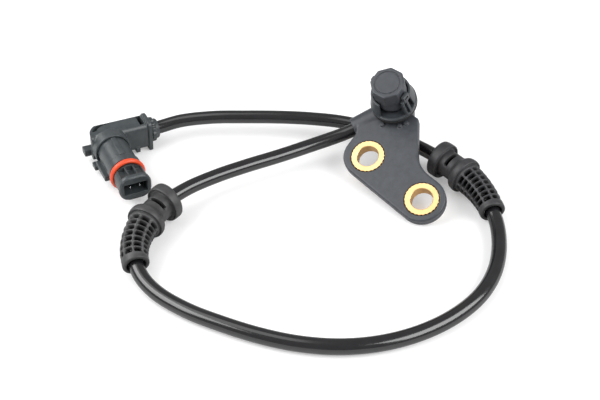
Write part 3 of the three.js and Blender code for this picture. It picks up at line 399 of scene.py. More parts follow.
# %% [markdown]
# ## Moulded housings as distance fields
# The bracket, the head, its clip sleeve and the two halves of the plug are injection mouldings:
# ribs, barrels and bosses that run into each other with small fillets. Booleans and bevels tear
# where such forms meet at a slant. Here each housing is one function that gives the distance to
# its surface, and a smooth minimum blends two forms with a fillet. Surface nets then turn it into
# quads: one point in each grid cell that the surface crosses, pulled onto the surface itself.

# %% Distance functions
def smooth_min(a, b, fillet):
    """The smaller distance, lowered by up to a quarter of the fillet where the two are alike."""
    near = np.maximum(fillet - np.abs(a - b), 0) / fillet
    return np.minimum(a, b) - near * near * fillet / 4


def carved(body, tool, fillet=0.25):
    """The body without the tool, with a small round along the cut."""
    return -smooth_min(-body, tool, fillet)


def capped(across, along, rounding):
    """A bar from its distance across and its distance along, with rounded end edges."""
    a, b = across + rounding, along + rounding
    return np.minimum(np.maximum(a, b), 0) + np.hypot(np.maximum(a, 0), np.maximum(b, 0)) - rounding


def between(value, low, high):
    """Distance along one axis to the span from low to high."""
    return np.abs(value - (low + high) / 2) - (high - low) / 2


def post(x, y, z, radius, bottom, top, rounding=0.3):
    """An upright round post on the origin."""
    return capped(np.hypot(x, y) - radius, between(z, bottom, top), rounding)


def block(x, y, z, low, high, rounding=0.3):
    """A box between two corners with rounded edges."""
    q = [between(v, a, b) + rounding for v, a, b in zip((x, y, z), low, high)]
    outside = np.sqrt(sum(np.maximum(v, 0) ** 2 for v in q))
    return outside + np.minimum(np.maximum(np.maximum(q[0], q[1]), q[2]), 0) - rounding


def outline_distance(x, y, corners):
    """Signed distance in the plane to a closed outline: the nearest edge, negative inside."""
    nearest = np.full(np.broadcast(x, y).shape, np.inf)
    inside = np.zeros(nearest.shape, bool)
    for (ax, ay), (bx, by) in zip(corners, np.roll(corners, -1, axis=0)):
        ex, ey = bx - ax, by - ay
        t = np.clip(((x - ax) * ex + (y - ay) * ey) / (ex * ex + ey * ey), 0, 1)
        nearest = np.minimum(nearest, (x - ax - t * ex) ** 2 + (y - ay - t * ey) ** 2)
        crosses = (ay > y) != (by > y)
        inside ^= crosses & (x < ax + (y - ay) * ex / (ey if ey else 1e-9))
    return np.where(inside, -1, 1) * np.sqrt(nearest)


print("4 mm from the axis of a 3 mm post:", float(post(4.0, 0.0, 0.0, 3, -5, 5)), "mm outside it")

# %% [markdown]
# ## From a distance to a mesh
# The field is asked at every corner of a regular grid. Each cell whose corners disagree holds a
# piece of the surface and gets one point, which a few Newton steps along the field's slope carry
# onto the surface. Marching cubes would give slivers. This gives even quads, and the slope also
# gives each point its exact shading direction. A small ball shows how true the surface is.

# %% Surface nets
SLOPE_STEP = 0.02
NEWTON_STEPS = 5
CELL_REACH = 0.6


def slope(field, points):
    """The field's gradient at points, from differences over a fiftieth of a millimetre."""
    columns = []
    for step in SLOPE_STEP * np.eye(3):
        columns.append((field(*(points + step).T) - field(*(points - step).T)) / (2 * SLOPE_STEP))
    return np.stack(columns, axis=1)


def net(field, low, high, step):
    """Quads on a field's zero surface, and the surface's own direction at each point."""
    counts = np.ceil((np.array(high) - low) / step).astype(int) + 1
    x, y, z = [low[a] + step * np.arange(counts[a]) for a in range(3)]
    inside = field(x[:, None, None], y[None, :, None], z[None, None, :]) < 0
    inside = np.broadcast_to(inside, counts)
    corners = [inside[i:i + counts[0] - 1, j:j + counts[1] - 1, k:k + counts[2] - 1]
               for i in (0, 1) for j in (0, 1) for k in (0, 1)]
    filled = np.sum(corners, axis=0)
    crossed = (filled > 0) & (filled < 8)
    number = np.full(crossed.shape, -1)
    number[crossed] = np.arange(crossed.sum())
    centres = low + step * (np.argwhere(crossed) + 0.5)
    points = centres.copy()
    for _ in range(NEWTON_STEPS):
        lean = slope(field, points)
        length = np.maximum((lean**2).sum(1, keepdims=True), 0.05)
        points = points - field(*points.T)[:, None] * lean / length
        points = centres + np.clip(points - centres, -CELL_REACH * step, CELL_REACH * step)
    quads = []
    for axis in range(3):
        u, v = (axis + 1) % 3, (axis + 2) % 3
        lower = np.take(inside, range(counts[axis] - 1), axis)
        upper = np.take(inside, range(1, counts[axis]), axis)
        edge = np.argwhere(lower != upper)
        across = edge[:, [u, v]]
        edge = edge[((across > 0) & (across < counts[[u, v]] - 1)).all(axis=1)]
        ring = []
        for du, dv in ((-1, -1), (0, -1), (0, 0), (-1, 0)):
            cell = edge.copy()
            cell[:, u] += du
            cell[:, v] += dv
            ring.append(number[tuple(cell.T)])
        ring = np.stack(ring, axis=1)
        outwards = lower[tuple(edge.T)]
        quads.append(np.where(outwards[:, None], ring, ring[:, ::-1]))
    return points, np.vstack(quads), unit(slope(field, points))


def moulding(name, field, low, high, step, origin, turn):
    """A housing's net, turned into place."""
    points, quads, normals = net(field, np.array(low, float), high, step)
    return new_piece(name, placed(points, origin, turn), quads, normals @ turn.T)


def ball_field(x, y, z):
    """Distance to a ball of radius 3 on the origin."""
    return np.sqrt(x**2 + y**2 + z**2) - 3


ball_points, ball_quads, _ = net(ball_field, np.full(3, -4.0), (4, 4, 4), 0.5)
off_ball = np.abs(ball_field(*ball_points.T)).max()
print(f"trial ball: {len(ball_quads)} faces, points off its surface by at most {off_ball:.5f} mm")

# %% [markdown]
# ## The bracket
# One glass-filled nylon moulding: a 4 mm plate with two bolt lobes and a waist, an arm that widens
# into the cable outlet, and a round pad with a sump behind it that carries the head. The outlet's
# barrel touches the plate's front face, so from the front it only shows as a soft swelling.

# %% Bracket outline
def rounded_outline(corners, steps=10):
    """Replaces each corner by an arc of its own radius that touches both edges."""
    made = []
    for (x, y, r), before, after in zip(corners, np.roll(corners, 1, axis=0), np.roll(corners, -1, axis=0)):
        at = np.array([x, y])
        back, ahead = unit(before[:2] - at), unit(after[:2] - at)
        half = math.acos(np.clip(back @ ahead, -1, 1)) / 2
        centre = at + unit(back + ahead) * r / math.sin(half)
        first = at + back * r / math.tan(half) - centre
        sweep = (math.pi - 2 * half) * np.sign(ahead[0] * back[1] - ahead[1] * back[0])
        angle = np.linspace(0, sweep, steps)
        turn = np.array([[np.cos(angle), -np.sin(angle)], [np.sin(angle), np.cos(angle)]])
        made.append(centre + np.einsum("ijk,j->ki", turn, first))
    outline = np.vstack(made)
    gap = np.linalg.norm(outline - np.roll(outline, 1, axis=0), axis=1)
    return outline[gap > 0.02]


BOLT_SPACING, LOBE = 27.8, 8.8
HEAD_XY = np.array([-6.7, 22.3])
plate_outline = rounded_outline(np.array([
    [-LOBE, -LOBE, LOBE],
    [BOLT_SPACING + LOBE, -LOBE, LOBE],
    [BOLT_SPACING + LOBE, LOBE, LOBE],
    [17.6, 8.8, 13],
    [4.4, 23.6, 1.6],
    [-6.7, 23.6, 0.3],
    [-13.5, 7.8, 0.3],
    [-10.5, 3.9, 1.2],
]))
print("bracket outline:", len(plate_outline), "points")

# %% Bracket
PLATE_BACK = -4
OUTLET_RADIUS, OUTLET_ROOT_RADIUS, OUTLET_LENGTH = 4.4, 5.9, 18.25
SUMP_RADIUS, SUMP_BACK = 6.4, -8.8
PAD_RADIUS, PAD_TOP = 7.0, 2.7
FOOT_DEG = [-78, -36, -20]
FOOT_RING, FOOT_RADIUS = 9.4, 0.9
BUSH_RADIUS, BUSH_FIT = 6.45, 0.11
CABLE_FIT = 0.3
HEAD_BORE = 4.15


def bracket_field(x, y, z):
    """Plate, outlet barrel, sump, pad and feet, blended; then the bores are carved out."""
    hx, hy = x - HEAD_XY[0], y - HEAD_XY[1]
    plate = capped(outline_distance(x, y, plate_outline), between(z, PLATE_BACK, 0), 0.75)
    ox, oy = x - OUTLET_MOUTH[0], y - OUTLET_MOUTH[1]
    along = ox * OUTLET_AXIS[0] + oy * OUTLET_AXIS[1]
    across = -ox * OUTLET_AXIS[1] + oy * OUTLET_AXIS[0]
    from_axis = np.hypot(across, z + OUTLET_RADIUS)
    taper = (OUTLET_ROOT_RADIUS - OUTLET_RADIUS) / OUTLET_LENGTH
    barrel = capped(from_axis - OUTLET_RADIUS - taper * along, between(along, 0, OUTLET_LENGTH), 0.45)
    barrel = np.maximum(barrel, SUMP_BACK - z)
    body = smooth_min(plate, barrel, 0.25)
    body = smooth_min(body, post(hx, hy, z, SUMP_RADIUS, SUMP_BACK, -1, 0.8), 1.0)
    body = smooth_min(body, post(hx, hy, z, PAD_RADIUS, -1.5, PAD_TOP, 0.3), 0.7)
    for angle in np.radians(FOOT_DEG):
        fx, fy = FOOT_RING * math.cos(angle), FOOT_RING * math.sin(angle)
        body = smooth_min(body, post(hx - fx, hy - fy, z, FOOT_RADIUS, -1, 0.8, 0.3), 0.4)
    for across_bolt in (0, BOLT_SPACING):
        body = carved(body, np.hypot(x - across_bolt, y) - BUSH_RADIUS - BUSH_FIT, 0.15)
    cable_hole = capped(from_axis - CABLE_RADIUS - CABLE_FIT, between(along, -5, 9.3), 0.2)
    body = carved(body, cable_hole, 0.4)
    return carved(body, post(hx, hy, z, HEAD_BORE, -7, 20, 0.2), 0.2)


bracket = moulding("bracket_moulding", bracket_field, (-20, -10, -10), (38, 30, 4), 0.25,
                   BRACKET_AT, BRACKET_TURN)
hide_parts("bracket")

# %% [markdown]
# ## The head
# The finger that faces the toothed ring is a round drum with an eight-sided cap. A thin groove on
# the cap marks the disc over the sensing chip. The clip sleeve round it has a flange, a tapered
# wall with a wide window, two ribs down to the flange and a hook with a slot.

# %% Head finger
NECK_POST_RADIUS, DRUM_RADIUS = 4.9, 6.1
CAP_APOTHEM, CAP_FOOT, CAP_TOP = 6.15, 11.2, 17.2
CAP_TURN = math.radians(9)
GROOVE_RADIUS, GROOVE_HALF, GROOVE_DEPTH = 4.7, 0.2, 0.25


def finger_field(x, y, z):
    """Neck and drum, then the cap: the smooth maximum of eight planes, with its groove and bore."""
    neck = post(x, y, z, NECK_POST_RADIUS, 3.0, 6.8)
    drum = smooth_min(neck, post(x, y, z, DRUM_RADIUS, 6.1, 11.7, 0.5), 0.4)
    across = -1e9
    for k in range(4):
        angle = CAP_TURN + k * math.pi / 4
        flat = np.abs(x * math.cos(angle) + y * math.sin(angle)) - CAP_APOTHEM
        across = -smooth_min(-across, -flat, 0.35) if k else flat
    cap = capped(across, between(z, CAP_FOOT, CAP_TOP), 0.5)
    body = smooth_min(drum, cap, 0.5)
    groove = np.maximum(np.abs(np.hypot(x, y) - GROOVE_RADIUS) - GROOVE_HALF, CAP_TOP - GROOVE_DEPTH - z)
    body = carved(body, groove, 0.12)
    return carved(body, post(x, y, z, HEAD_BORE, 2, 15.6, 0.2), 0.2)


finger = moulding("head_moulding", finger_field, (-8, -8, 2), (8, 8, 18.2), 0.2, HEAD_AT, BRACKET_TURN)
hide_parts("head_finger")

# %% [markdown]
# ## The clip sleeve
# The sleeve is a thin springy moulding of its own that holds the finger on the bracket. It is a
# field again, because its ribs lean and run into a tapered wall. Everything on it stands at some
# angle round the head's axis, so one helper turns the coordinates to face that way.

# %% Clip sleeve
SLEEVE_BOTTOM, SLEEVE_TOP = 3.0, 10.9
SLEEVE_FLANGE_RADIUS, SLEEVE_FLANGE_TOP = 8.9, 4.2
SLEEVE_FOOT_RADIUS, SLEEVE_TAPER, SLEEVE_WALL = 8.65, 1.2 / 7.0, 0.9
WINDOW_DEG = (-82, 24)
RIB_DEG, RIB_THICKNESS = (-9, 5), 1.1
HOOK_DEG, TAB_DEG = 8, 188


def turned(x, y, degrees):
    """Coordinates along and across a radial direction."""
    c, s = math.cos(math.radians(degrees)), math.sin(math.radians(degrees))
    return x * c + y * s, -x * s + y * c


def sleeve_field(x, y, z):
    """Flange and tapered wall, less the window, plus ribs, hook and tab."""
    r = np.hypot(x, y)
    flange = np.maximum(r - SLEEVE_FLANGE_RADIUS, 5.2 - r)
    flange = capped(flange, between(z, SLEEVE_BOTTOM, SLEEVE_FLANGE_TOP), 0.35)
    outer = SLEEVE_FOOT_RADIUS - (z - 3.9) * SLEEVE_TAPER
    wall = capped(between(r, outer - SLEEVE_WALL, outer), between(z, 3.6, SLEEVE_TOP), 0.2)
    first = turned(x, y, WINDOW_DEG[0])[1]
    last = -turned(x, y, WINDOW_DEG[1])[1]
    window = np.maximum(-np.minimum(first, last), 4.25 - z)
    body = smooth_min(carved(wall, window, 0.4), flange, 0.4)
    for degrees in RIB_DEG:
        u, v = turned(x, y, degrees)
        front = (u - SLEEVE_FLANGE_RADIUS) + (z - 3.8) * 0.13
        back = (6.96 - u) + np.maximum(9.4 - z, 0) * 0.17
        rib = np.maximum(np.maximum(front, between(z, 3.8, 11.9)), back)
        body = smooth_min(body, capped(rib, np.abs(v) - RIB_THICKNESS / 2, 0.25), 0.3)
    u, v = turned(x, y, HOOK_DEG)
    hook = block(u, v, z, (6.45, -1.6, 10.3), (7.85, 1.6, 14.1), 0.3)
    hook = carved(hook, block(u, v, z, (6.95, -0.9, 11.8), (9, 0.9, 12.9), 0.1), 0.1)
    body = smooth_min(body, hook, 0.3)
    u, v = turned(x, y, TAB_DEG)
    return smooth_min(body, block(u, v, z, (6.45, -1, 10.1), (7.65, 1, 14.9), 0.3), 0.3)


sleeve = moulding("sleeve_moulding", sleeve_field, (-10, -10, 2), (10, 10, 16), 0.2, HEAD_AT, BRACKET_TURN)
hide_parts("clip_sleeve")

# %% [markdown]
# ## The brass bushes
# Each bush is turned brass, pressed into the plate flush with its face. Its outside is knurled so
# that it can't spin, which shows as a slightly ragged rim. A lathe does the same as the helper
# here: it carries one closed section round an axis, so the grid closes on itself in both
# directions. It makes the seals and the collar too.

# %% Bushes
ALONG_X, ALONG_Y, ALONG_Z = [2, 0, 1], [0, 2, 1], [0, 1, 2]
BUSH_TEETH, TOOTH_DEPTH = 26, 0.22
POINTS_A_TOOTH = 8
BUSH_BORE = 4.15
BUSH_BACK, BUSH_FACE = -4.5, 0.1
BACK_EDGE, FACE_EDGE = 0.2, 0.18


def carried_round(name, radius, along, axis, origin, turn, reverse=True):
    """A closed section carried round an axis: radius x cos angle, radius x sin angle and the
    distance along the axis, in the axis's order of x, y and z."""
    rows, sides = radius.shape
    along = np.broadcast_to(along, radius.shape)
    points = np.stack([radius * np.cos(around(sides)), radius * np.sin(around(sides)), along], axis=-1)
    faces = grid_faces(rows, sides, closed_rows=True)
    return new_piece(name, placed(points[..., axis].reshape(-1, 3), origin, turn),
                     faces[:, ::-1] if reverse else faces)


def bush(name, across):
    """The turned section, whose outer points alone move in and out with the knurl's teeth."""
    middle = (BUSH_BACK + BUSH_FACE) / 2
    section = np.array([
        [BUSH_BORE, BUSH_BACK + BACK_EDGE], [BUSH_BORE + BACK_EDGE, BUSH_BACK],
        [BUSH_RADIUS - BACK_EDGE, BUSH_BACK], [BUSH_RADIUS, BUSH_BACK + BACK_EDGE],
        [BUSH_RADIUS, middle], [BUSH_RADIUS, BUSH_FACE - FACE_EDGE],
        [BUSH_RADIUS - FACE_EDGE, BUSH_FACE], [(BUSH_BORE + BUSH_RADIUS) / 2, BUSH_FACE],
        [BUSH_BORE + BACK_EDGE, BUSH_FACE], [BUSH_BORE, BUSH_FACE - BACK_EDGE], [BUSH_BORE, middle]])
    phase = around(POINTS_A_TOOTH * BUSH_TEETH) * BUSH_TEETH / np.pi
    knurl = TOOTH_DEPTH * (np.abs(phase % 2 - 1) - 1)
    outside = np.clip((section[:, :1] - BUSH_RADIUS + 0.35) / 0.3, 0, 1)
    centre = placed(np.array([across, 0, 0]), BRACKET_AT, BRACKET_TURN)
    made = carried_round(name, section[:, :1] + outside * knurl, section[:, 1:], ALONG_Z,
                         centre, BRACKET_TURN)
    made.data.set_sharp_from_angle(angle=math.radians(35))
    return made


bushes = [bush("bush_left_brass", 0), bush("bush_right_brass", BOLT_SPACING)]
for made, node in zip(bushes, ("bush_left", "bush_right")):
    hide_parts(node)

# %% [markdown]
# ## The plug
# The plug's axes cross where its barrel meets the arm: the nose points along -Y and the cable's
# arm along +X. The body is a round barrel with a groove for the seal and a flat-sided nose with a
# rectangular socket. The elbow cover wraps its back end and grips the cable's collar.

# %% Plug body
BARREL_RADIUS, BAND_START, BARREL_END = 6.1, 19.9, 22.9
BAND_RADIUS, CORE_RADIUS = 6.5, 5.2
NOSE_START, NOSE_END = 25.6, 33.4
NOSE_HALF_WIDTH, NOSE_HALF_HEIGHT, NOSE_CORNER = 6.15, 5.2, 4.2
RIM_LENGTH = 2.2
POCKET_PITCH, POCKET_HALF = 3.15, 1.3
PIN_ACROSS, PIN_HOLE_HALF = 1.85, 0.7

# two corners of each box, as across, along the nose and up
KEY = ((-0.95, 8.5, 4.5), (0.95, 19.6, 6.7))
RAIL = ((-7.5, 8.5, -4.6), (-4, 19.6, -2.4))
LUG = ((-8.3, 6.2, -6.2), (-6.3, 9.7, -4.2))
SOCKET = ((-4.5, 26.2, -2.3), (4.5, 35, 2.3))


def plug_field(x, y, z):
    """Barrel, band, nose and rim along -Y, with key, rail and lug; pockets, socket and pin holes carved."""
    along = -y
    r = np.hypot(x, z)
    barrel = capped(r - BARREL_RADIUS, between(along, 4.8, BARREL_END - 0.5), 0.4)
    band = capped(r - BAND_RADIUS, between(along, BAND_START, BARREL_END), 0.3)
    core = capped(r - CORE_RADIUS, between(along, 10, NOSE_START + 1), 0.2)
    corner = (NOSE_HALF_WIDTH, NOSE_HALF_HEIGHT, 9)
    across = block(x, z, 0 * x, np.negative(corner), corner, NOSE_CORNER)
    nose = capped(across + 0.35, between(along, NOSE_START, NOSE_END), 0.3)
    rim = capped(across, between(along, NOSE_END - RIM_LENGTH, NOSE_END - 0.4), 0.35)
    body = smooth_min(smooth_min(barrel, band, 0.15), core, 0.2)
    body = smooth_min(body, smooth_min(nose, rim, 0.3), 0.2)
    for low, high in (KEY, RAIL, LUG):
        body = smooth_min(body, block(x, along, z, low, high, 0.3), 0.3)
    for middle in POCKET_PITCH * np.array([-1, 0, 1]):
        low, high = (middle - POCKET_HALF, 25.8, 2.9), (middle + POCKET_HALF, 31.3, 7.2)
        body = carved(body, block(x, along, z, low, high, 0.15), 0.1)
    body = carved(body, block(x, along, z, *SOCKET, 0.25), 0.25)
    body = carved(body, capped(r - 4.6, between(along, 0, 21.4), 0.2), 0.2)
    for side in (-PIN_ACROSS, PIN_ACROSS):
        low, high = (side - PIN_HOLE_HALF, 10, -PIN_HOLE_HALF), (side + PIN_HOLE_HALF, 30, PIN_HOLE_HALF)
        body = carved(body, block(x, along, z, low, high, 0.1), 0.1)
    return body


plug = moulding("plug_moulding", plug_field, (-9.5, -34.5, -8), (8, -4, 8), 0.2, PLUG_AT, PLUG_TURN)
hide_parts("plug_body")

# %% [markdown]
# ## The elbow cover
# The cover is the moulding that turns the cable by a right angle into the barrel. From above, its
# back corner is one quarter circle with a groove along it. The section of its arm has a different
# radius at each corner, which a plain rounded box can't have, so that gets its own function.

# %% Elbow cover
ARM_BACK, ARM_END = -7.2, 15.9
ARM_LOW, ARM_HIGH = (-4.5, -5.4), (4.5, 5.8)
CORNER_RADIUS = 8.2
ELBOW_WALL = 1.3
HOOD_RADIUS, BARREL_FIT = 7.1, 0.15
END_LOW, END_HIGH, END_PLATE = (-5.2, -6.6), (5, 6.4), 1.4
RIDGE_INSET, RIDGE_HALF, RIDGE_FLOOR = 1.7, 0.75, 4.2

# two corners of each box
ELBOW_FOOT = ((10.2, -5.0, -6.2), (12, -2.5, -3.9))
ELBOW_TAB = ((-9.4, -1.2, -5), (-4.4, 2.6, -2.2))
ARM_HOLLOW = ((-4.8, -3.3, -3.3), (9, 3.7, 3.3))
BARREL_HOLLOW = ((-4.8, -12, -3.3), (4.8, 2.7, 3.3))
TOP_SLOT = ((13.0, -2.9, 1.6), (14.8, 2.8, 9))


def rounded_section(u, v, low, high, radii):
    """A rectangle in the plane with a radius for each corner: (low, low), (high, low), (high,
    high) and (low, high)."""
    right, above = u > (low[0] + high[0]) / 2, v > (low[1] + high[1]) / 2
    radius = np.where(above, np.where(right, radii[2], radii[3]), np.where(right, radii[1], radii[0]))
    a, b = between(u, low[0], high[0]) + radius, between(v, low[1], high[1]) + radius
    return np.hypot(np.maximum(a, 0), np.maximum(b, 0)) + np.minimum(np.maximum(a, b), 0) - radius


def elbow_field(x, y, z):
    """A rounded arm along +X with a round corner over the barrel, end plate, hood, foot and tab."""
    section = rounded_section(y, z, ARM_LOW, ARM_HIGH, (1.5, 2.5, 2.6, 2.8))
    corner_x, corner_y = x - ARM_BACK - CORNER_RADIUS, y - ARM_HIGH[0] + CORNER_RADIUS
    from_corner = np.hypot(corner_x, corner_y)
    in_corner = (corner_x < 0) & (corner_y > 0)
    plan = np.where(in_corner, from_corner - CORNER_RADIUS, between(x, ARM_BACK, 40))
    arm = capped(np.maximum(section, plan), between(x, ARM_BACK, ARM_END + 0.3), 0.5)
    hood = capped(np.hypot(x, z) - HOOD_RADIUS, between(-y, 3, 8.2), 0.35)
    body = smooth_min(arm, hood, 0.6)
    end = rounded_section(y, z, END_LOW, END_HIGH, (0.8, 0.8, 3.0, 2.4))
    body = smooth_min(body, capped(end, between(x, ARM_END - 0.2, ARM_END + END_PLATE), 0.35), 0.4)
    for low, high in (ELBOW_FOOT, ELBOW_TAB):
        body = smooth_min(body, block(x, y, z, low, high, 0.3), 0.3)
    for low, high in (ARM_HOLLOW, BARREL_HOLLOW):
        body = carved(body, np.maximum(block(x, y, z, low, high, 0.3), plan + ELBOW_WALL), 0.2)
    cable_hole = capped(np.hypot(y, z) - CABLE_RADIUS - CABLE_FIT, between(x, 8, 40), 0.1)
    barrel_hole = capped(np.hypot(x, z) - BARREL_RADIUS - BARREL_FIT, between(-y, 4.5, 20), 0.1)
    body = carved(carved(body, cable_hole, 0.2), barrel_hole, 0.2)
    body = carved(body, block(x, y, z, *TOP_SLOT, 0.15), 0.15)
    from_wall = CORNER_RADIUS - np.where(corner_x < 0, from_corner, corner_y)
    ridge = np.abs(from_wall - RIDGE_INSET) - RIDGE_HALF
    ridge = np.maximum(np.maximum(ridge, -0.9 - y), np.maximum(x - 2.5, RIDGE_FLOOR - z))
    return carved(body, ridge, 0.2)


elbow = moulding("elbow_moulding", elbow_field, (-11, -9.5, -8), (20, 7, 8), 0.2, PLUG_AT, PLUG_TURN)
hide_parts("elbow_cover")

# %% [markdown]
# ## The seal ring
# The orange ring seals the plug in its socket. It sits in the gap between the barrel and the nose
# and stands a little above both. Moulded rubber seals like it have two soft lips rather than a
# plain round section, so a small ripple is added to the circle.

# %% Seal ring
SEAL_AT, SEAL_RADIUS = 24.25, 6.1
SEAL_HALF_HEIGHT, SEAL_HALF_WIDTH, SEAL_LIP = 0.8, 1.05, 0.06
SEAL_POINTS, SEAL_SIDES = 28, 96


def as_column(values, sides):
    """One value for each row of a section, the same all the way round."""
    return np.repeat(values[:, None], sides, axis=1)


def seal_ring():
    """An ellipse with a ripple, carried round the nose's axis."""
    t = around(SEAL_POINTS)
    radius = SEAL_RADIUS + SEAL_HALF_HEIGHT * np.cos(t) * (1 + SEAL_LIP * np.cos(2 * t))
    along = -(SEAL_AT + SEAL_HALF_WIDTH * np.sin(t))
    return carried_round("seal_ring", as_column(radius, SEAL_SIDES), along[:, None], ALONG_Y,
                         PLUG_AT, PLUG_TURN, reverse=False)


seal = seal_ring()
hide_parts("plug_seal")

# %% [markdown]
# ## The cable's collar
# A stepped ring behind the arm's end plate clamps the cable. Its bigger step has teeth round it
# for a grip. A sine that is squared off by tanh gives teeth with flat tops and steep sides.

# %% Cable collar
COLLAR_TEETH, POINTS_A_COLLAR_TOOTH = 14, 8
COLLAR_TOOTH_DEPTH = 0.42
COLLAR_GAP = 0.3


def collar():
    """A closed section carried round the cable; the big ring's radius rises and falls with the teeth."""
    start = ARM_END + END_PLATE + COLLAR_GAP
    section = np.array([
        [2.75, 0.1], [2.95, 0], [4.5, 0], [4.85, 0.15], [4.9, 0.4], [4.9, 1.5], [4.7, 1.8], [4.1, 1.9],
        [4.0, 2.1], [4.0, 2.9], [3.8, 3.2], [3.0, 3.25], [2.75, 3.1], [2.75, 1.6]])
    phase = COLLAR_TEETH * around(POINTS_A_COLLAR_TOOTH * COLLAR_TEETH)
    wave = 0.5 + 0.5 * np.tanh(3 * np.sin(phase))
    toothed = np.clip((section[:, :1] - 4.2) / 0.5, 0, 1)
    made = carried_round("collar_ring", section[:, :1] - COLLAR_TOOTH_DEPTH * toothed * wave,
                         start + section[:, 1:], ALONG_X, PLUG_AT, PLUG_TURN)
    made.data.set_sharp_from_angle(angle=math.radians(40))
    return made


clamp = collar()
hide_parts("cable_collar")

# %% [markdown]
# ## Head seal and contact pins
# A rubber cord seals the head where the sleeve sits on the bracket's pad. The two contacts are
# stamped square pins, of which the photograph shows only the bright tips in the socket. A square
# is a circle divided by the larger of cosine and sine, with the corners held back a little.

# %% Head seal and pins
CORD_RADIUS, CORD_RING, CORD_HEIGHT = 0.8, 8.1, 1.9
CORD_POINTS, CORD_SIDES = 16, 80
PIN_SIDES = 24
PIN_CORNER = 1.25


def seal_cord():
    """A circle carried round the head's pad."""
    t = around(CORD_POINTS)
    radius = CORD_RING + CORD_RADIUS * np.cos(t)
    along = CORD_HEIGHT + CORD_RADIUS * np.sin(t)
    return carried_round("head_seal_cord", as_column(radius, CORD_SIDES), along[:, None], ALONG_Z,
                         HEAD_AT, BRACKET_TURN)


def contact_pin(name, across):
    """A square section carried along the pin, drawn in to a blunt tip."""
    reach = np.array([3.6, 3.75, 30.6, 31.4, 32.1, 32.2])
    half = np.array([0.3, 0.4, 0.4, 0.3, 0.2, 0.1])
    angle = around(PIN_SIDES)
    square = np.minimum(1 / np.maximum(np.abs(np.cos(angle)), np.abs(np.sin(angle))), PIN_CORNER)
    width = half[:, None] * square
    points = np.stack([across + width * np.cos(angle), np.broadcast_to(-reach[:, None], width.shape),
                       width * np.sin(angle)], axis=-1).reshape(-1, 3)
    caps = [np.arange(PIN_SIDES)[::-1], np.arange(PIN_SIDES) + len(points) - PIN_SIDES]
    faces = [*grid_faces(len(reach), PIN_SIDES), *caps]
    return new_piece(name, placed(points, PLUG_AT, PLUG_TURN), faces)


head_seal = seal_cord()
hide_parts("head_seal")
pins = [contact_pin("contact_a_tin", -PIN_ACROSS), contact_pin("contact_b_tin", PIN_ACROSS)]
for made, node in zip(pins, ("contact_pin_a", "contact_pin_b")):
    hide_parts(node)

# %% [markdown]
# ## The cord
# The photograph shows the cable from end to end, so its length is the centreline's own. It leaves
# the bracket at the outlet's mouth.

# %% [markdown]
# ## Finishes
# A finish is a Principled shader with a little noise in its colour, its roughness and its height,
# at the size that the real surface shows. Everything reads Object coordinates, in metres, so a
# noise of scale 1000 has features of about a millimetre.

# %% Finish helpers
GLOSS_DRIFT = 0.07
GRAIN_HEIGHT = 0.00006


def linear(red, green, blue):
    """A colour written as 0 to 255 in a picture, as the linear value that a shader needs."""
    c = np.array([red, green, blue]) / 255
    return [*np.where(c <= 0.04045, c / 12.92, ((c + 0.055) / 1.055) ** 2.4), 1.0]


def finish(name, colour, darker, roughness, mottle, grain, bump, **sockets):
    """A surface whose colour drifts between two tones and whose grain is a fine bump."""
    made = bpy.data.materials.new(name)
    made.use_nodes = True
    tree = made.node_tree
    shader = tree.nodes["Principled BSDF"]
    place = tree.nodes.new("ShaderNodeTexCoord")
    blotch = tree.nodes.new("ShaderNodeTexNoise")
    tone = tree.nodes.new("ShaderNodeValToRGB")
    fine = tree.nodes.new("ShaderNodeTexNoise")
    gloss = tree.nodes.new("ShaderNodeMapRange")
    height = tree.nodes.new("ShaderNodeBump")
    for end, position, value in zip(tone.color_ramp.elements, (0.32, 0.7), (darker, colour)):
        end.position = position
        end.color = value
    for node, socket, value in (
            (blotch, "Scale", mottle), (blotch, "Detail", 6), (blotch, "Roughness", 0.62),
            (fine, "Scale", grain), (fine, "Detail", 3),
            (gloss, "To Min", roughness - GLOSS_DRIFT), (gloss, "To Max", roughness + GLOSS_DRIFT),
            (height, "Strength", bump), (height, "Distance", GRAIN_HEIGHT)):
        node.inputs[socket].default_value = value
    for start, output, end, socket in (
            (place, "Object", blotch, "Vector"), (place, "Object", fine, "Vector"),
            (blotch, "Fac", tone, "Fac"), (tone, "Color", shader, "Base Color"),
            (blotch, "Fac", gloss, "Value"), (gloss, "Result", shader, "Roughness"),
            (fine, "Fac", height, "Height"), (height, "Normal", shader, "Normal")):
        tree.links.new(start.outputs[output], end.inputs[socket])
    for socket, value in sockets.items():
        shader.inputs[socket.replace("_", " ")].default_value = value
    return made


def times_painted_light(material, socket):
    """Multiplies what goes into one socket of a finish by the painted light and shade that the piece
    carries as its tone.
    """
    tree = material.node_tree
    target = tree.nodes["Principled BSDF"].inputs[socket]
    tone = tree.nodes.new("ShaderNodeAttribute")
    tone.attribute_name = "tone"
    times = tree.nodes.new("ShaderNodeVectorMath")
    times.operation = "MULTIPLY"
    if target.links:
        tree.links.new(target.links[0].from_socket, times.inputs[0])
    else:
        times.inputs[0].default_value = [target.default_value] * 3
    tree.links.new(tone.outputs["Fac"], times.inputs[1])
    tree.links.new(times.outputs["Vector"], target)
    return material


def dress(material, *pieces):
    """Gives pieces, or CAD nodes by name, one material."""
    for piece in pieces:
        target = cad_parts[piece] if isinstance(piece, str) else piece
        target.data.materials.clear()
        target.data.materials.append(material)
    print(f"{material.name} on {len(pieces)} pieces")
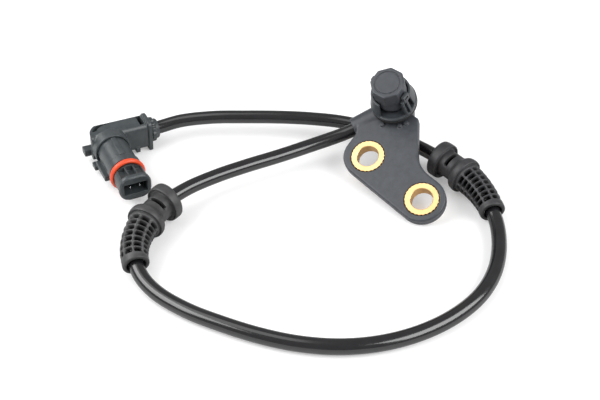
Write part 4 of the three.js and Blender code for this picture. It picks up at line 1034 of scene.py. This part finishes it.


# %% [markdown]
# ## Plastics and rubbers
# The housings are black glass-filled nylon, which looks dark grey because light spreads in its
# skin: a rough surface with a fine grain. The cable's jacket is smooth and glossy, and almost all
# that shows of it is reflection. The grommets are matt, and the far one is set a darker grey.

# %% Plastics and rubbers
housing = finish("glass_filled_nylon", linear(64, 67, 72), linear(53, 56, 61), 0.42, 420, 5200, 0.35)
sleeve_plastic = finish("clip_nylon", linear(60, 64, 68), linear(50, 54, 58), 0.4, 500, 5200, 0.3)
plug_plastic = finish("plug_nylon", linear(66, 71, 73), linear(54, 59, 61), 0.33, 380, 4600, 0.3)
jacket = finish("jacket_black", linear(28, 28, 30), linear(20, 20, 22), 0.16, 160, 2600, 0.08,
                Specular_IOR_Level=0.8)
rubber = finish("grommet_rubber", linear(66, 66, 67), linear(50, 50, 51), 0.48, 330, 4200, 0.5)
rubber_far = finish("grommet_rubber_dark", linear(54, 54, 56), linear(41, 41, 43), 0.5, 330, 4200, 0.5)
orange = finish("seal_orange", linear(232, 84, 44), linear(222, 72, 36), 0.34, 300, 2400, 0.15)
black_seal = finish("seal_black", linear(26, 27, 28), linear(18, 18, 19), 0.5, 300, 3000, 0.2)
insert_plastic = finish("insert_dark", linear(40, 42, 44), linear(30, 32, 34), 0.55, 400, 4000, 0.2)
insulation = finish("core_insulation", linear(120, 62, 34), linear(104, 52, 28), 0.45, 300, 3000, 0.1)
dress(housing, bracket, finger)
dress(sleeve_plastic, sleeve)
dress(plug_plastic, plug, elbow, clamp)
# painted light and shade: the jacket's shade inside the grommets, the grommets' cage sheen and bore shade
dress(times_painted_light(times_painted_light(jacket, "Specular IOR Level"), "Base Color"), cable)
dress(times_painted_light(rubber, "Base Color"), grommet_near)
dress(times_painted_light(rubber_far, "Base Color"), grommet_far)
dress(orange, seal)
dress(black_seal, head_seal)
dress(insert_plastic, "pin_insert", "chip_carrier", "sensor_chip")
dress(insulation, "head_core_a", "head_core_b", "plug_core_a", "plug_core_b")

# %% [markdown]
# ## Metals
# A metal has no colour of its own but tints what it mirrors, so Metallic is 1 and the colour is
# the tint. The bushes' faces are finely turned and mirror only a blur of the lamps.

# %% Metals
brass = finish("turned_brass", linear(247, 207, 150), linear(240, 196, 136), 0.36, 260, 3000, 0.1,
               Metallic=1.0)
tin = finish("tinned_contact", linear(222, 224, 228), linear(206, 208, 212), 0.25, 500, 4000, 0.05,
             Metallic=1.0)
magnet = finish("sintered_magnet", linear(112, 112, 114), linear(92, 92, 94), 0.5, 600, 5000, 0.3,
                Metallic=0.9)
dress(brass, *bushes)
dress(tin, *pins, "lead_a", "lead_b")
dress(magnet, "bias_magnet")

# %% [markdown]
# ## The table
# The sensor lies on a white table without an edge. The floor is a white matt plane that also gives
# off a little light towards the camera, so that it reads white where it is lit and pale grey in
# the shade. A plain white background would lose the shadows that hold the sensor down.

# %% Floor
FLOOR_HALF = 2
FLOOR_WHITE = 0.72
FLOOR_GLOW = 0.3

floor_mesh = bpy.data.meshes.new("floor")
floor_corners = [(FLOOR_HALF * x, FLOOR_HALF * y, 0) for x, y in ((-1, -1), (1, -1), (1, 1), (-1, 1))]
floor_mesh.from_pydata(floor_corners, [], [(0, 1, 2, 3)])
floor = bpy.data.objects.new("floor", floor_mesh)
bpy.context.scene.collection.objects.link(floor)

table_white = bpy.data.materials.new("table_white")
table_white.use_nodes = True
tree = table_white.node_tree
shader = tree.nodes["Principled BSDF"]
shader.inputs["Base Color"].default_value = (FLOOR_WHITE, FLOOR_WHITE, FLOOR_WHITE, 1)
shader.inputs["Roughness"].default_value = 0.9
shader.inputs["Specular IOR Level"].default_value = 0.0
path = tree.nodes.new("ShaderNodeLightPath")
lift = tree.nodes.new("ShaderNodeMath")
lift.operation = "MULTIPLY"
lift.inputs[1].default_value = FLOOR_GLOW
glow = tree.nodes.new("ShaderNodeEmission")
both = tree.nodes.new("ShaderNodeAddShader")
tree.links.new(path.outputs["Is Camera Ray"], lift.inputs[0])
tree.links.new(lift.outputs[0], glow.inputs["Strength"])
tree.links.new(shader.outputs[0], both.inputs[0])
tree.links.new(glow.outputs[0], both.inputs[1])
tree.links.new(both.outputs[0], tree.nodes["Material Output"].inputs["Surface"])
floor_mesh.materials.append(table_white)
print(f"floor: {2 * FLOOR_HALF} m square, white of {FLOOR_WHITE}")

# %% [markdown]
# ## Lamps
# The cable is a mirror for the lamps: its bright lines say where they stood. There was a wide
# softbox on the right and one on the left, both about 40 degrees up, and a dim ceiling. Area lamps
# are such softboxes, and how bright one looks is its power divided by pi and by its area.

# %% World and lamps
SKY_STRENGTH = 0.36
LAMP_AIM = (-0.03, -0.03, 0)

world = bpy.data.worlds.new("studio")
bpy.context.scene.world = world
world.use_nodes = True
sky = world.node_tree.nodes["Background"]
sky.inputs["Color"].default_value = (1, 1, 1, 1)
sky.inputs["Strength"].default_value = SKY_STRENGTH


def softbox(name, at, width, height, power):
    """A rectangular area lamp that faces the middle of the cable's loop."""
    data = bpy.data.lights.new(name, "AREA")
    data.shape = "RECTANGLE"
    data.size, data.size_y, data.energy = width, height, power
    lamp = bpy.data.objects.new(name, data)
    bpy.context.scene.collection.objects.link(lamp)
    lamp.location = at
    x, y, z = np.array(LAMP_AIM) - np.array(at)
    lamp.rotation_euler = (math.atan2(math.hypot(x, y), -z), 0, math.atan2(y, x) - math.pi / 2)
    print(f"{name}: {power / (math.pi * width * height):.1f} W per square metre and steradian")


softbox("softbox_right", (0.41, -0.23, 0.43), 0.6, 0.38, 3.9)
softbox("softbox_left", (-0.51, -0.03, 0.43), 0.75, 0.35, 3.9)
softbox("softbox_over", (-0.27, 0.0, 0.6), 0.45, 0.4, 0.8)
bpy.context.scene.view_settings.view_transform = "Standard"
